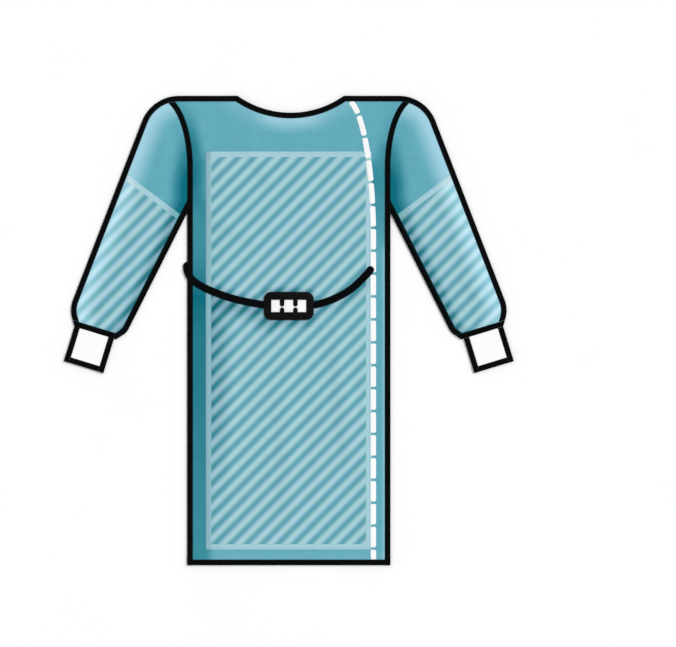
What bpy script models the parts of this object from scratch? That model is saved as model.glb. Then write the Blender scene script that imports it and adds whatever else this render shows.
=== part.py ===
"""Surgical gown laid out flat on a surface, its front facing up.

X runs across the gown, Y from hem to neck, Z up. Every ply of cloth is a wall of one thickness, and
the plies lie on each other in whole layers, so that each clears the next by one gap. Dimensions are
in metres. "left" is the -X side.
"""

import math

import bmesh
import bpy
import numpy as np
from mathutils import Vector
from mathutils.bvhtree import BVHTree
from mathutils.geometry import tessellate_polygon

# ---- driving dimensions -------------------------------------------------------------------------
LENGTH = 1.250          # shoulder to hem
BODY_HALF = 0.2706      # centre line to the outside of a side binding
WALL = 0.0012           # one ply of cloth, and one leg of a binding
GAP = 0.0003            # between pieces that touch
LAYER = WALL + GAP      # one ply and its gap
TRIM = 0.0150           # width of the black bindings and tapes
WEB = 0.0020            # a binding's fold, outside the cloth's edge
ROUNDING = 0.0004       # a binding's outer edges

SHOULDER_Y = LENGTH / 2
HEM_Y = -LENGTH / 2
NECK_X = 0.005          # the neck scoop's middle
NECK_HALF = 0.1415
NECK_DEPTH = 0.045
NECK_RADIUS = (NECK_HALF ** 2 + NECK_DEPTH ** 2) / (2 * NECK_DEPTH)
BACK_NECK_DROP = 0.003  # the back neckline is cut lower than the front one

SEAM_X = BODY_HALF - TRIM / 2
ARMHOLE_LOW = 0.4331    # below this the armhole seam is straight
ARMHOLE_WIDE = 0.0765   # the quarter ellipse above it
ARMHOLE_TALL = 0.1866
ARMHOLE_HEIGHTS = (0.3333, 0.369, 0.401, 0.4331, 0.4764, 0.522, 0.558, 0.586, 0.6085, 0.617)

SHOULDER_END = 0.2928   # where the shoulder line turns into the sleeve head
SLEEVE_HEAD, SLEEVE_HEAD_RADIUS = (0.3648, SHOULDER_Y), 0.105
SLEEVE_OUTER, SLEEVE_OUTER_RADIUS = (0.5847, 0.0564), 0.078
UNDERARM = (SEAM_X, 0.3285)
SLEEVE_INNER, SLEEVE_INNER_RADIUS = (0.4320, -0.0060), 0.045
UNDERARM_Y = 0.3137    # where the sleeve leaves the side binding
ARC_STEP = math.radians(4)

CUFF_TOP = (0.5163, 0.0016)
CUFF_TILT = math.radians(17)
CUFF_HALF = 0.055
CUFF_LENGTH = 0.1037
CUFF_SEAM_INNER, CUFF_SEAM_OUTER = -0.068, 0.0595   # the cuff seam's ends, along the seam
CUFF_SEAM_SLANTS = (0.0062, 0.0050)    # how far its tape's upper corners reach past these
RIBS = 16
RIB_HEIGHT = 0.0006
RIB_SPAN = 0.0385      # ribs reach this far each side of the cuff's middle
CUFF_SEAM_STATIONS = 5

INSET = 0.0163          # cloth stays level this far in from a bound edge
EDGE = WEB + GAP        # cloth stops this far inside a binding's outer face
SIDE_EDGE = BODY_HALF - EDGE
LIFT = 0.0006           # the front's rest height above the bound edges
SLEEVE_CROWN = 0.0016
CROWN_RISE = 0.050      # the crown's distance from the bound edges to its full height

PATCH_LEFT, PATCH_RIGHT = -0.221, 0.220
PATCH_TOP, PATCH_BOTTOM = 0.4764, -0.5837
PATCH_WALL = 0.0010

WRAP_EDGE_X = 0.225     # the wrap flap's free edge, then a quarter ellipse up to the neck
WRAP_TURN_X, WRAP_TURN_Y = 0.1522, 0.2412
WRAP_TALL = 0.373
WRAP_TOP = 0.607
UNDER_TOP_X, UNDER_HEM_X = -0.100, -0.150
BACK_HEM_Y = HEM_Y + 0.0008

TIE_WIDTH = 0.020
TIE_STEP = 0.012
TIE_DROOP = 0.0012      # a tie sinks this much a column where nothing is under it
CARD_SIZE = (0.133, 0.075)
CARD_Y = 0.0653
CARD_CORNER = 0.020
CARD_WALL, FRAME_WALL = 0.0010, 0.0020
WINDOW_SIZE = (0.0932, 0.0328)
BAR_X, BAR_WIDTH, BAR_BREAK = 0.0178, 0.0118, 0.0024
BAR_DROP = 0.0027       # the bars' breaks lie this far under the window's middle
CARD_SAMPLES = (40, 24)
DRAPE_PASSES = 4
DRAPE_SAMPLES = 10
RAY_TOP = 0.2

TAPE_STATIONS = 19
CURVE_STEPS = 8
CORNER_STEPS = 6
STUB_STEPS = 4
SHARP_ANGLE = math.radians(35)

SIDES = (("left", -1), ("right", 1))

# The panels' grids. Shares of the way from neck corner to armhole, and from the patch's top up.
SIDE_COLUMNS = (0.254, 0.2375)
SHOULDER_SHARES = (0.182, 0.364, 0.545, 0.727, 0.909)
NECK_COLUMNS = 9
SHOULDER_COLUMNS = 3
NECK_FIRST = 1 + len(SIDE_COLUMNS) + SHOULDER_COLUMNS   # the columns that end at the neck's corners
NECK_LAST = NECK_FIRST + NECK_COLUMNS - 1
LOWER_ROWS = 23
PATCH_ROW, PATCH_COLUMN = 2, 3  # where the front's patch starts in its grid
YOKE_RISE = (0.0, 0.25, 0.48, 0.67, 0.84, 1.0)
EDGE_REACH = 0.25       # the armholes' curve fades out of the grid within this share of its width
HEM_STATIONS = 7
WRAP_COLUMNS = (-0.254, -0.2375, -0.187)
WRAP_SHOULDER_SHARES = (0.909, 0.727, 0.400)
WRAP_INNER = (-0.104, -0.040, 0.030, 0.100, 0.165)
WRAP_TOP_X = (-0.104, -0.050, 0.010, 0.070, 0.125)
WRAP_ROWS = (-0.300, 0.000, 0.160)
SECTION_SAMPLES = 240

# Sleeve sections: distance along the outer and the inner edge, and how much of the armhole's curve
# the section keeps. The one marked by PATCH_SECTION is the sleeve patch's upper edge.
SLEEVE_SECTIONS = (
    (0.0375, 0.0000, 1.00), (0.0530, 0.0040, 0.90), (0.0760, 0.0080, 0.75), (0.1010, 0.0120, 0.60),
    (0.1260, 0.0160, 0.45), (0.1720, 0.0207, 0.30), (0.2200, 0.0255, 0.15), (0.2694, 0.0318, 0.00),
    (0.3100, 0.0675, 0.00), (0.3520, 0.1048, 0.00), (0.3940, 0.1431, 0.00), (0.4360, 0.1814, 0.00),
    (0.4780, 0.2197, 0.00), (0.5200, 0.2580, 0.00), (0.5620, 0.2943, 0.00), (0.6000, 0.3228, 0.00),
    (0.6340, 0.3463, 0.00), (0.6600, 0.3620, 0.00), (0.6800, 0.3748, 0.00), (0.6912, 0.3863, 0.00),
    (0.7010, 0.3970, 0.00),
)
PATCH_SECTION = 7
LEVEL_SECTIONS = 3      # the last sections lie level for the cuff seam
BACK_SLEEVE_STEP = 2    # the plain back of the sleeve takes every second section
UNDERARM_SECTION = 4    # the inner binding follows the sleeve's edge from this section on
SLEEVE_INNER_COLUMNS = 6

# Cuff rows: distance from the seam, level in layers, and how far the ribs swell.
CUFF_ROWS = (
    (GAP / 2, 2, 0), (0.0084, 2, 0), (0.0124, 2, 1), (0.0740, 2, 1), (0.0780, 2, 0),
    (CUFF_LENGTH - INSET, 3, 0), (CUFF_LENGTH - EDGE, 3, 0),
)

# Soft folds: from, to, half width and height.
FRONT_FOLDS = (
    (-0.232, 0.330, -0.060, 0.215, 0.030, 0.0030),
    (0.234, 0.345, 0.090, 0.240, 0.032, 0.0026),
    (-0.150, 0.035, -0.176, -0.430, 0.036, 0.0032),
    (0.118, 0.055, 0.168, -0.370, 0.038, 0.0030),
    (-0.020, -0.110, 0.012, -0.540, 0.042, 0.0026),
    (-0.130, 0.530, -0.035, 0.375, 0.034, 0.0020),
    (0.178, 0.545, 0.118, 0.400, 0.032, 0.0019),
    (0.200, -0.300, 0.214, -0.590, 0.032, 0.0020),
    (-0.215, -0.250, -0.200, -0.570, 0.030, 0.0018),
)
SLEEVE_FOLDS = {
    "left": (
        (0.310, 0.550, 0.352, 0.440, 0.026, 0.0022), (0.330, 0.330, 0.415, 0.375, 0.024, 0.0020),
        (0.385, 0.250, 0.490, 0.285, 0.024, 0.0024), (0.430, 0.175, 0.500, 0.120, 0.022, 0.0018),
    ),
    "right": (
        (0.305, 0.500, 0.365, 0.415, 0.026, 0.0020), (0.345, 0.275, 0.430, 0.330, 0.026, 0.0024),
        (0.390, 0.190, 0.470, 0.225, 0.024, 0.0018), (0.455, 0.150, 0.515, 0.075, 0.022, 0.0022),
    ),
}

# The belt's centre line, from the left side over the front to the card, and on to the right.
LEFT_TIE = (
    (-0.2697, 0.1826), (-0.2710, 0.1612), (-0.2568, 0.1346), (-0.2156, 0.1093), (-0.1517, 0.0858),
    (-0.0877, 0.0717), (-0.0500, 0.0670),
)
RIGHT_TIE = (
    (0.0500, 0.0667), (0.0829, 0.0714), (0.1255, 0.0869), (0.1682, 0.1120), (0.2108, 0.1537),
    (0.2215, 0.1704),
)
# A rounded end: its stations, in half widths from the tip, and the least distance to the next.
END_STATIONS = (0.06, 0.30, 0.65, 1.00)
END_CLEAR = 1.6

# material: colour and roughness
FINISHES = {
    "gown_cloth": ((0.133, 0.402, 0.497), 0.85),
    "patch_cloth": ((0.250, 0.540, 0.620), 0.80),
    "black_binding": ((0.004, 0.005, 0.006), 0.70),
    "white_knit": ((0.880, 0.880, 0.870), 0.95),
    "white_card": ((0.900, 0.900, 0.890), 0.60),
    "black_plastic": ((0.004, 0.005, 0.006), 0.35),
}


# ---- scene and meshes ---------------------------------------------------------------------------
def clear_scene():
    for existing in list(bpy.data.objects):
        bpy.data.objects.remove(existing)


def finish(name):
    """The material of that name, made on its first use."""
    if name in bpy.data.materials:
        return bpy.data.materials[name]
    colour, roughness = FINISHES[name]
    material = bpy.data.materials.new(name)
    material.use_nodes = True
    shader = material.node_tree.nodes["Principled BSDF"]
    shader.inputs["Base Color"].default_value = (*colour, 1.0)
    shader.inputs["Roughness"].default_value = roughness
    shader.inputs["Metallic"].default_value = 0.0
    return material


def solid(name, points, faces, material):
    """A closed body from points and triangles, its faces turned outward."""
    mesh = bpy.data.meshes.new(name)
    mesh.from_pydata([tuple(map(float, p)) for p in points], [], faces)
    body = bmesh.new()
    body.from_mesh(mesh)
    bmesh.ops.recalc_face_normals(body, faces=body.faces)
    body.to_mesh(mesh)
    body.free()
    mesh.shade_smooth()
    mesh.set_sharp_from_angle(angle=SHARP_ANGLE)
    mesh.materials.append(finish(material))
    made = bpy.data.objects.new(name, mesh)
    bpy.context.scene.collection.objects.link(made)
    return made


def wall(name, lower, upper, material):
    """A thin wall between two grids of points of the same rows and columns."""
    rows, columns = lower.shape[:2]
    count = rows * columns
    faces = []
    for i in range(rows - 1):
        for j in range(columns - 1):
            a, b = i * columns + j, i * columns + j + 1
            c, d = b + columns, a + columns
            faces += [(a, b, c), (a, c, d)]
            faces += [(count + a, count + c, count + b), (count + a, count + d, count + c)]
    rim = [(0, j) for j in range(columns)] + [(i, columns - 1) for i in range(1, rows)]
    rim += [(rows - 1, j) for j in range(columns - 2, -1, -1)] + [(i, 0) for i in range(rows - 2, 0, -1)]
    ring = [i * columns + j for i, j in rim]
    for a, b in zip(ring, ring[1:] + ring[:1]):
        faces += [(a, count + a, count + b), (a, count + b, b)]
    return solid(name, np.concatenate([lower.reshape(-1, 3), upper.reshape(-1, 3)]), faces, material)


def ply(name, plan, heights, thickness, material):
    """A wall of even thickness over a plan grid (rows, columns, xy) at the given lower heights."""
    lower = np.dstack([plan, heights])
    return wall(name, lower, lower + (0, 0, thickness), material)


def plate(name, loops, low, thickness, material):
    """A flat plate between its outline and its holes, which are the loops after the first."""
    corners = [point for loop in loops for point in loop]
    count = len(corners)
    cap = tessellate_polygon([[Vector((x, y, 0)) for x, y in loop] for loop in loops])
    faces = [tuple(t) for t in cap] + [tuple(count + k for k in reversed(t)) for t in cap]
    start = 0
    for loop in loops:
        for k in range(len(loop)):
            a, b = start + k, start + (k + 1) % len(loop)
            faces += [(a, b, count + b), (a, count + b, count + a)]
        start += len(loop)
    points = [(x, y, low) for x, y in corners] + [(x, y, low + thickness) for x, y in corners]
    return solid(name, points, faces, material)


# ---- plan geometry ------------------------------------------------------------------------------
def normals(path):
    """Unit normals of a path, to its right, widened at the corners so that offsets stay parallel."""
    path = np.asarray(path, float)
    along = np.diff(path, axis=0)
    along /= np.linalg.norm(along, axis=1)[:, None]
    right = np.stack([along[:, 1], -along[:, 0]], axis=1)
    before, after = np.vstack([right[:1], right]), np.vstack([right, right[-1:]])
    middle = before + after
    middle /= np.linalg.norm(middle, axis=1)[:, None]
    return middle / (middle * after).sum(axis=1)[:, None]


def offset(path, distance):
    return np.asarray(path, float) + distance * normals(path)


def rounded_path(corners, radii):
    """A path through straight runs, with an arc of each radius at each inner corner."""
    points = [np.array(corners[0], float)]
    for before, corner, after, radius in zip(corners, corners[1:], corners[2:], radii):
        before, corner, after = (np.array(p, float) for p in (before, corner, after))
        come = (corner - before) / np.linalg.norm(corner - before)
        leave = (after - corner) / np.linalg.norm(after - corner)
        turn = math.atan2(come[0] * leave[1] - come[1] * leave[0], come @ leave)
        start = corner - come * radius * math.tan(abs(turn) / 2)
        side = np.array((-come[1], come[0])) * math.copysign(1, turn)
        steps = max(2, math.ceil(abs(turn) / ARC_STEP))
        for angle in np.linspace(0, abs(turn), steps + 1):
            points.append(start + radius * (come * math.sin(angle) + side * (1 - math.cos(angle))))
    points.append(np.array(corners[-1], float))
    return np.array(points)


def lengths(path):
    return np.concatenate([[0], np.cumsum(np.linalg.norm(np.diff(path, axis=0), axis=1))])


def walk(path, distance):
    """The point at a distance along a path."""
    travelled = lengths(path)
    return np.array([np.interp(distance, travelled, path[:, k]) for k in range(2)])


def distances(path, points):
    """Each point's distance from a path."""
    a, b = path[:-1], path[1:]
    run = b - a
    share = ((points[:, None] - a) * run).sum(axis=2) / (run * run).sum(axis=1)
    nearest = a + np.clip(share, 0, 1)[..., None] * run
    return np.linalg.norm(points[:, None] - nearest, axis=2).min(axis=1)


def seam_x(y):
    """The armhole seam's distance from the centre line at a height."""
    rise = max(0.0, (y - ARMHOLE_LOW) / ARMHOLE_TALL)
    return SEAM_X + ARMHOLE_WIDE * (1 - math.sqrt(max(0.0, 1 - rise * rise)))


def scoop_y(x, drop=0.0):
    """The neck scoop's edge at x, or that of a neckline cut lower by drop."""
    radius = NECK_RADIUS + drop
    centre = SHOULDER_Y - NECK_DEPTH + NECK_RADIUS
    return centre - math.sqrt(radius ** 2 - (x - NECK_X) ** 2)


def neck_corner(side, drop):
    """Where the shoulder's cloth edge meets a neckline cut lower by drop."""
    centre = SHOULDER_Y - NECK_DEPTH + NECK_RADIUS
    half = math.sqrt((NECK_RADIUS + drop) ** 2 - (centre - (SHOULDER_Y - drop)) ** 2)
    return np.array((NECK_X + side * half, SHOULDER_Y - drop))


def wrap_edge_x(y):
    rise = min(1.0, max(0.0, (y - WRAP_TURN_Y) / WRAP_TALL))
    return WRAP_TURN_X + (WRAP_EDGE_X - WRAP_TURN_X) * math.sqrt(1 - rise * rise)


def mirrored(points, side):
    return np.asarray(points, float) * (side, 1)


def armhole(shift):
    """The right armhole's stations, moved outward by shift."""
    seam = np.array([(seam_x(y), y) for y in ARMHOLE_HEIGHTS])
    return offset(seam, shift)


def sleeve_outline():
    """The right sleeve's outer and inner outlines, both ending at the cuff seam."""
    across = np.array((math.cos(CUFF_TILT), math.sin(CUFF_TILT)))
    outer_end = np.array(CUFF_TOP) + CUFF_SEAM_OUTER * across
    inner_end = np.array(CUFF_TOP) + CUFF_SEAM_INNER * across
    start = (SHOULDER_END, SHOULDER_Y)
    outer = rounded_path(
        (start, SLEEVE_HEAD, SLEEVE_OUTER, outer_end), (SLEEVE_HEAD_RADIUS, SLEEVE_OUTER_RADIUS)
    )
    inner = rounded_path((UNDERARM, SLEEVE_INNER, inner_end), (SLEEVE_INNER_RADIUS,))
    return outer, inner


def between_edges(bottom, top, left, right, rise):
    """A grid of points between four edges; rise holds each row's share of the way up.

    The side edges' curves fade out within EDGE_REACH of the width.
    """
    travelled = lengths(bottom)
    u = (travelled / travelled[-1])[None, :, None]
    v = np.asarray(rise)[:, None, None]
    straight = (1 - v) * bottom[None] + v * top[None]
    left_bow = left[:, None] - straight[:, :1]
    right_bow = right[:, None] - straight[:, -1:]
    left_share = np.clip(1 - u / EDGE_REACH, 0, 1)
    right_share = np.clip(1 - (1 - u) / EDGE_REACH, 0, 1)
    return straight + left_share * left_bow + right_share * right_bow


# ---- relief -------------------------------------------------------------------------------------
def fold_height(points, folds):
    """The height of the soft folds at each point: rounded across, and fading at both ends."""
    total = np.zeros(len(points))
    for x0, y0, x1, y1, half_width, height in folds:
        start, run = np.array((x0, y0)), np.array((x1 - x0, y1 - y0))
        share = np.clip(((points - start) @ run) / (run @ run), 0, 1)
        off = np.linalg.norm(points - start - share[:, None] * run, axis=1) / half_width
        total += height * np.clip(1 - off ** 2, 0, None) ** 2 * (1 - (2 * share - 1) ** 4)
    return total


def smooth(share):
    share = np.clip(share, 0, 1)
    return share * share * (3 - 2 * share)


# ---- panels -------------------------------------------------------------------------------------
def shoulder_points(side, shares, corner):
    """Points along one shoulder's cloth edge, from the neck corner to the top of the armhole."""
    outer, _ = sleeve_outline()
    top = armhole(-GAP / 2)[-1]
    line = offset(outer, EDGE)
    line = line[line[:, 0] < top[0] - EDGE]
    line = np.vstack([(corner[0] * side, SHOULDER_Y - EDGE), line, top])
    return [mirrored(walk(line, share * lengths(line)[-1]), side) for share in shares]


def front_plan():
    """The front panel's plan: rows from hem to shoulder, columns from left to right."""
    left_corner, right_corner = neck_corner(-1, EDGE), neck_corner(1, EDGE)
    neck_x = np.linspace(left_corner[0], right_corner[0], NECK_COLUMNS)
    between = [-x for x in SIDE_COLUMNS]
    between += list(np.linspace(PATCH_LEFT, left_corner[0], SHOULDER_COLUMNS + 1)[:-1]) + list(neck_x)
    between += list(np.linspace(right_corner[0], PATCH_RIGHT, SHOULDER_COLUMNS + 1)[1:])
    between += reversed(SIDE_COLUMNS)

    armhole_edge = armhole(-GAP / 2)
    rows = [HEM_Y + EDGE, HEM_Y + INSET, *np.linspace(PATCH_BOTTOM, UNDERARM_Y, LOWER_ROWS)]
    edge = np.vstack([[(SIDE_EDGE, y) for y in rows], armhole_edge])
    yoke = len(edge) - len(YOKE_RISE)
    lower = np.array([[(-x, y), *((c, y) for c in between), (x, y)] for x, y in edge[: yoke + 1]])

    top_row = [mirrored(armhole_edge[-1], -1)]
    top_row += reversed(shoulder_points(-1, SHOULDER_SHARES, left_corner))
    top_row += [(x, scoop_y(x, EDGE)) for x in neck_x]
    top_row += shoulder_points(1, SHOULDER_SHARES, right_corner) + [armhole_edge[-1]]
    upper = between_edges(lower[-1], np.array(top_row), mirrored(edge[yoke:], -1), edge[yoke:], YOKE_RISE)
    return np.vstack([lower, upper[1:]])


def front_heights(plan):
    """Level along the bound edges, a layer higher where the front alone is bound, soft between."""
    rows, columns = plan.shape[:2]
    heights = 2 * LAYER + LIFT + fold_height(plan.reshape(-1, 2), FRONT_FOLDS).reshape(rows, columns)
    heights[:, (0, 1, -2, -1)] = 2 * LAYER
    heights[-2:, :] = 2 * LAYER
    heights[-2:, NECK_FIRST - 1 : NECK_LAST + 2] = 3 * LAYER
    heights[:2, :] = 3 * LAYER
    return heights


def wrap_panel():
    """The back's outer flap: it lies on the surface and rises to its bound left edges."""
    corner = neck_corner(-1, EDGE)
    between = [*WRAP_COLUMNS, corner[0], *WRAP_INNER]
    armhole_edge = armhole(-GAP / 2)
    rows = [(SIDE_EDGE, y) for y in (BACK_HEM_Y, PATCH_BOTTOM, *WRAP_ROWS, UNDERARM_Y)]
    left = mirrored(np.vstack([rows, armhole_edge]), -1)
    yoke = len(left) - len(YOKE_RISE)
    lower = [[(x, y), *((c, y) for c in between), (wrap_edge_x(y), y)] for x, y in left[: yoke + 1]]
    lower = np.array(lower)

    top_row = [left[-1], *shoulder_points(-1, WRAP_SHOULDER_SHARES, corner), corner]
    top_row += [(x, min(scoop_y(x, BACK_NECK_DROP), WRAP_TOP)) for x in WRAP_TOP_X]
    top_row += [(wrap_edge_x(WRAP_TOP), WRAP_TOP)]
    right_y = PATCH_TOP + (WRAP_TOP - PATCH_TOP) * np.array(YOKE_RISE)
    right = np.array([(wrap_edge_x(y), y) for y in right_y])
    upper = between_edges(lower[-1], np.array(top_row), left[yoke:], right, YOKE_RISE)
    plan = np.vstack([lower, upper[1:]])

    heights = np.zeros(plan.shape[:2])
    heights[:, :2] = LAYER
    heights[-2:, : len(WRAP_COLUMNS) + 2] = LAYER
    ply("back_panel_wrap", plan, heights, WALL, "gown_cloth")


def under_panel():
    """The back's inner flap: flat on the wrap flap, out to the bound right edges."""
    corner = neck_corner(1, EDGE)
    side = [(SIDE_EDGE, BACK_HEM_Y), (SIDE_EDGE, UNDERARM_Y)]
    shoulder = reversed(shoulder_points(1, SHOULDER_SHARES, corner))
    neck_x = np.linspace(corner[0] - EDGE, UNDER_TOP_X, NECK_COLUMNS)
    neck = [(x, scoop_y(x, BACK_NECK_DROP)) for x in neck_x]
    outline = [*side, *armhole(-GAP / 2), *shoulder, corner, *neck, (UNDER_HEM_X, BACK_HEM_Y)]
    plate("back_panel_under", [outline], LAYER, WALL, "gown_cloth")


def patch_on(name, plan, heights, rows, columns):
    """A reinforcement patch: its panel's own points, moved out."""
    ply(name, plan[rows, columns], heights[rows, columns] + LAYER, PATCH_WALL, "patch_cloth")


# ---- sleeves ------------------------------------------------------------------------------------
def crossing(section, path, distance):
    """Where a dense section first comes as far as distance from a path."""
    away = distances(path, section)
    k = int(np.argmax(away >= distance))
    share = (distance - away[k - 1]) / (away[k] - away[k - 1])
    return section[k - 1] + share * (section[k] - section[k - 1])


def sleeve_plan(sections):
    """The right sleeve's plan: a row for each section, from the inner edge to the outer edge."""
    outer, inner = sleeve_outline()
    heights = np.linspace(UNDERARM[1], ARMHOLE_HEIGHTS[-1], SECTION_SAMPLES)
    seam = np.array([(seam_x(y), y) for y in heights])
    shares = lengths(seam) / lengths(seam)[-1]
    bow = seam - (seam[0] + shares[:, None] * (seam[-1] - seam[0]))
    rows = [armhole(GAP / 2)]
    for outer_distance, inner_distance, kept in sections[1:]:
        start, end = walk(inner, inner_distance), walk(outer, outer_distance)
        section = start + shares[:, None] * (end - start) + kept * bow
        edges = [crossing(section, inner, EDGE), crossing(section, inner, INSET)]
        far = [crossing(section[::-1], outer, INSET), crossing(section[::-1], outer, EDGE)]
        marks = [int(np.argmin(np.linalg.norm(section - p, axis=1))) for p in (edges[1], far[0])]
        middle = np.linspace(*marks, SLEEVE_INNER_COLUMNS + 2).astype(int)[1:-1]
        rows.append(np.array(edges + [section[k] for k in middle] + far))
    plan = np.array(rows)
    plan[-1] += cuff_point(0, -GAP / 2) - cuff_point(0, 0)
    return plan


def sleeve_heights(plan, folds):
    """The front face: level at its edges and the cuff seam, with a crown and soft folds between."""
    outer, inner = sleeve_outline()
    points = plan.reshape(-1, 2)
    edge = np.minimum(distances(outer, points), distances(inner, points)) - INSET
    ends = np.minimum(distances(plan[0], points), distances(plan[-1], points))
    share = smooth(edge / CROWN_RISE) * smooth(ends / CROWN_RISE)
    soft = (SLEEVE_CROWN + fold_height(points, folds)) * share
    heights = 2 * LAYER + soft.reshape(plan.shape[:2])
    heights[-LEVEL_SECTIONS:] = 2 * LAYER
    return heights


def sleeve(label, side):
    """One sleeve: its front and back faces, and the patch on its front."""
    plan = sleeve_plan(SLEEVE_SECTIONS)
    heights = sleeve_heights(plan, SLEEVE_FOLDS[label])
    ply(f"sleeve_front_{label}", mirrored(plan, side), heights, WALL, "gown_cloth")
    patch_rows = slice(PATCH_SECTION, len(plan) - 1)
    patch_on(f"reinforcement_sleeve_{label}", mirrored(plan, side), heights, patch_rows, slice(1, -1))

    back = sleeve_plan(SLEEVE_SECTIONS[::BACK_SLEEVE_STEP])
    back_heights = np.zeros(back.shape[:2])
    back_heights[:, (0, 1, -2, -1)] = LAYER
    back_heights[(0, -2, -1), :] = LAYER
    ply(f"sleeve_back_{label}", mirrored(back, side), back_heights, WALL, "gown_cloth")
    return plan


# ---- bindings -----------------------------------------------------------------------------------
def binding_profile(slot_low, slot_high):
    """A binding's section: distance in from the outline, and height."""
    under, top = slot_low - WALL, slot_high + WALL
    return (
        (ROUNDING, under), (0, under + ROUNDING), (0, top - ROUNDING), (ROUNDING, top), (TRIM, top),
        (TRIM, slot_high), (WEB, slot_high), (WEB, slot_low), (TRIM, slot_low), (TRIM, under),
    )


def bind(name, path, inward, slot_low, slot_high):
    """A folded binding along a path: two legs, joined by a fold outside the cloth's edge.

    inward holds each station's direction over the cloth, and slot_high the upper leg's underside
    at each station.
    """
    profiles = [binding_profile(slot_low, high) for high in np.broadcast_to(slot_high, len(path))]
    points = [
        (*(np.asarray(point) + a * np.asarray(over)), z)
        for point, over, profile in zip(path, inward, profiles)
        for a, z in profile
    ]
    size = len(profiles[0])
    last = len(points) - size
    faces = [tuple(t) for t in tessellate_polygon([[Vector((a, z, 0)) for a, z in profiles[0]]])]
    end = tessellate_polygon([[Vector((a, z, 0)) for a, z in profiles[-1]]])
    faces += [tuple(last + k for k in reversed(t)) for t in end]
    for start in range(0, last, size):
        for k in range(size):
            a, b = start + k, start + (k + 1) % size
            faces += [(a, b, b + size), (a, b + size, a + size)]
    return solid(name, points, faces, "black_binding")


def armhole_top():
    """Where the shoulder's outline meets the sleeve's, its direction over the cloth and along."""
    head = np.array((SHOULDER_END, SHOULDER_Y - SLEEVE_HEAD_RADIUS))
    out = armhole(0)[-1] - head
    out /= np.linalg.norm(out)
    return head + SLEEVE_HEAD_RADIUS * out, -out, np.array((out[1], -out[0]))


def towards(direction, edge_normal):
    """A cut's direction over the cloth, long enough to keep the binding's width."""
    direction = np.asarray(direction, float)
    return direction / abs(direction @ np.asarray(edge_normal, float))


def side_bindings():
    """Both sides, from the hem to the underarm. Their slot rises to the front's hem."""
    stations = (HEM_Y, HEM_Y + INSET, PATCH_BOTTOM, UNDERARM_Y)
    slot = (4 * LAYER, 4 * LAYER, 3 * LAYER, 3 * LAYER)
    for label, side in SIDES:
        path = [(side * BODY_HALF, y) for y in stations]
        bind(f"side_binding_{label}", path, [(-side, 0)] * len(path), WALL, slot)


def hem_binding():
    """The front's hem, between the side bindings and over the back panels."""
    end = BODY_HALF - TRIM - GAP
    path = [(x, HEM_Y) for x in np.linspace(-end, end, HEM_STATIONS)]
    bind("hem_binding", path, [(0, 1)] * len(path), 2 * LAYER + WALL, 4 * LAYER)


def neck_and_shoulder_bindings(plan, heights):
    """The neck scoop and both shoulders, mitred at the neck's corners."""
    top = plan[-1]
    outline = offset(top, -EDGE)
    inward = normals(outline)
    slot_high = heights[-1] + LAYER
    corner, over, _ = armhole_top()
    for k, side in ((0, -1), (-1, 1)):
        outline[k], inward[k] = mirrored(corner, side), mirrored(over, side)
    along = np.diff(outline, axis=0)
    along /= np.linalg.norm(along, axis=1)[:, None]
    runs = (
        ("shoulder_binding_left", 0, NECK_FIRST, WALL),
        ("neck_binding", NECK_FIRST, NECK_LAST, 2 * LAYER + WALL),
        ("shoulder_binding_right", NECK_LAST, len(outline) - 1, WALL),
    )
    for name, first, last, slot_low in runs:
        run = slice(first, last + 1)
        path = outline[run].copy()
        path[0] += along[first] * GAP / 2
        path[-1] -= along[last - 1] * GAP / 2
        bind(name, path, inward[run], slot_low, slot_high[run])


def sleeve_bindings(label, side, plan):
    """The sleeve's outer and inner edges, from armhole and underarm down to the cuff seam."""
    last = len(plan) - 2
    row = plan[last, -1] - plan[last, 0]
    row /= np.linalg.norm(row)

    outer = offset(plan[: last + 1, -1], -EDGE)
    over = normals(outer)
    over[-1] = towards(-row, over[-1])
    outer[-1] = plan[last, -1] - EDGE * over[-1]
    corner, over[0], along = armhole_top()
    outer[0] = corner + along * GAP / 2
    bind(f"sleeve_binding_outer_{label}", mirrored(outer, side), mirrored(over, side), WALL, 3 * LAYER)

    inner = offset(plan[UNDERARM_SECTION : last + 1, 0], EDGE)
    over = -normals(inner)
    over[-1] = towards(row, over[-1])
    inner[-1] = plan[last, 0] - EDGE * over[-1]
    slope = (inner[1] - inner[0]) / (inner[1, 0] - inner[0, 0])
    inner[0] += slope * (BODY_HALF + GAP - inner[0, 0])
    over[0] = towards((0, 1), over[0])
    bind(f"sleeve_binding_inner_{label}", mirrored(inner, side), mirrored(over, side), WALL, 3 * LAYER)


# ---- cuffs --------------------------------------------------------------------------------------
def cuff_point(across, down):
    """A point of the right cuff, from its seam's middle."""
    x = CUFF_TOP[0] + across * math.cos(CUFF_TILT) + down * math.sin(CUFF_TILT)
    y = CUFF_TOP[1] + across * math.sin(CUFF_TILT) - down * math.cos(CUFF_TILT)
    return np.array((x, y))


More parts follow.
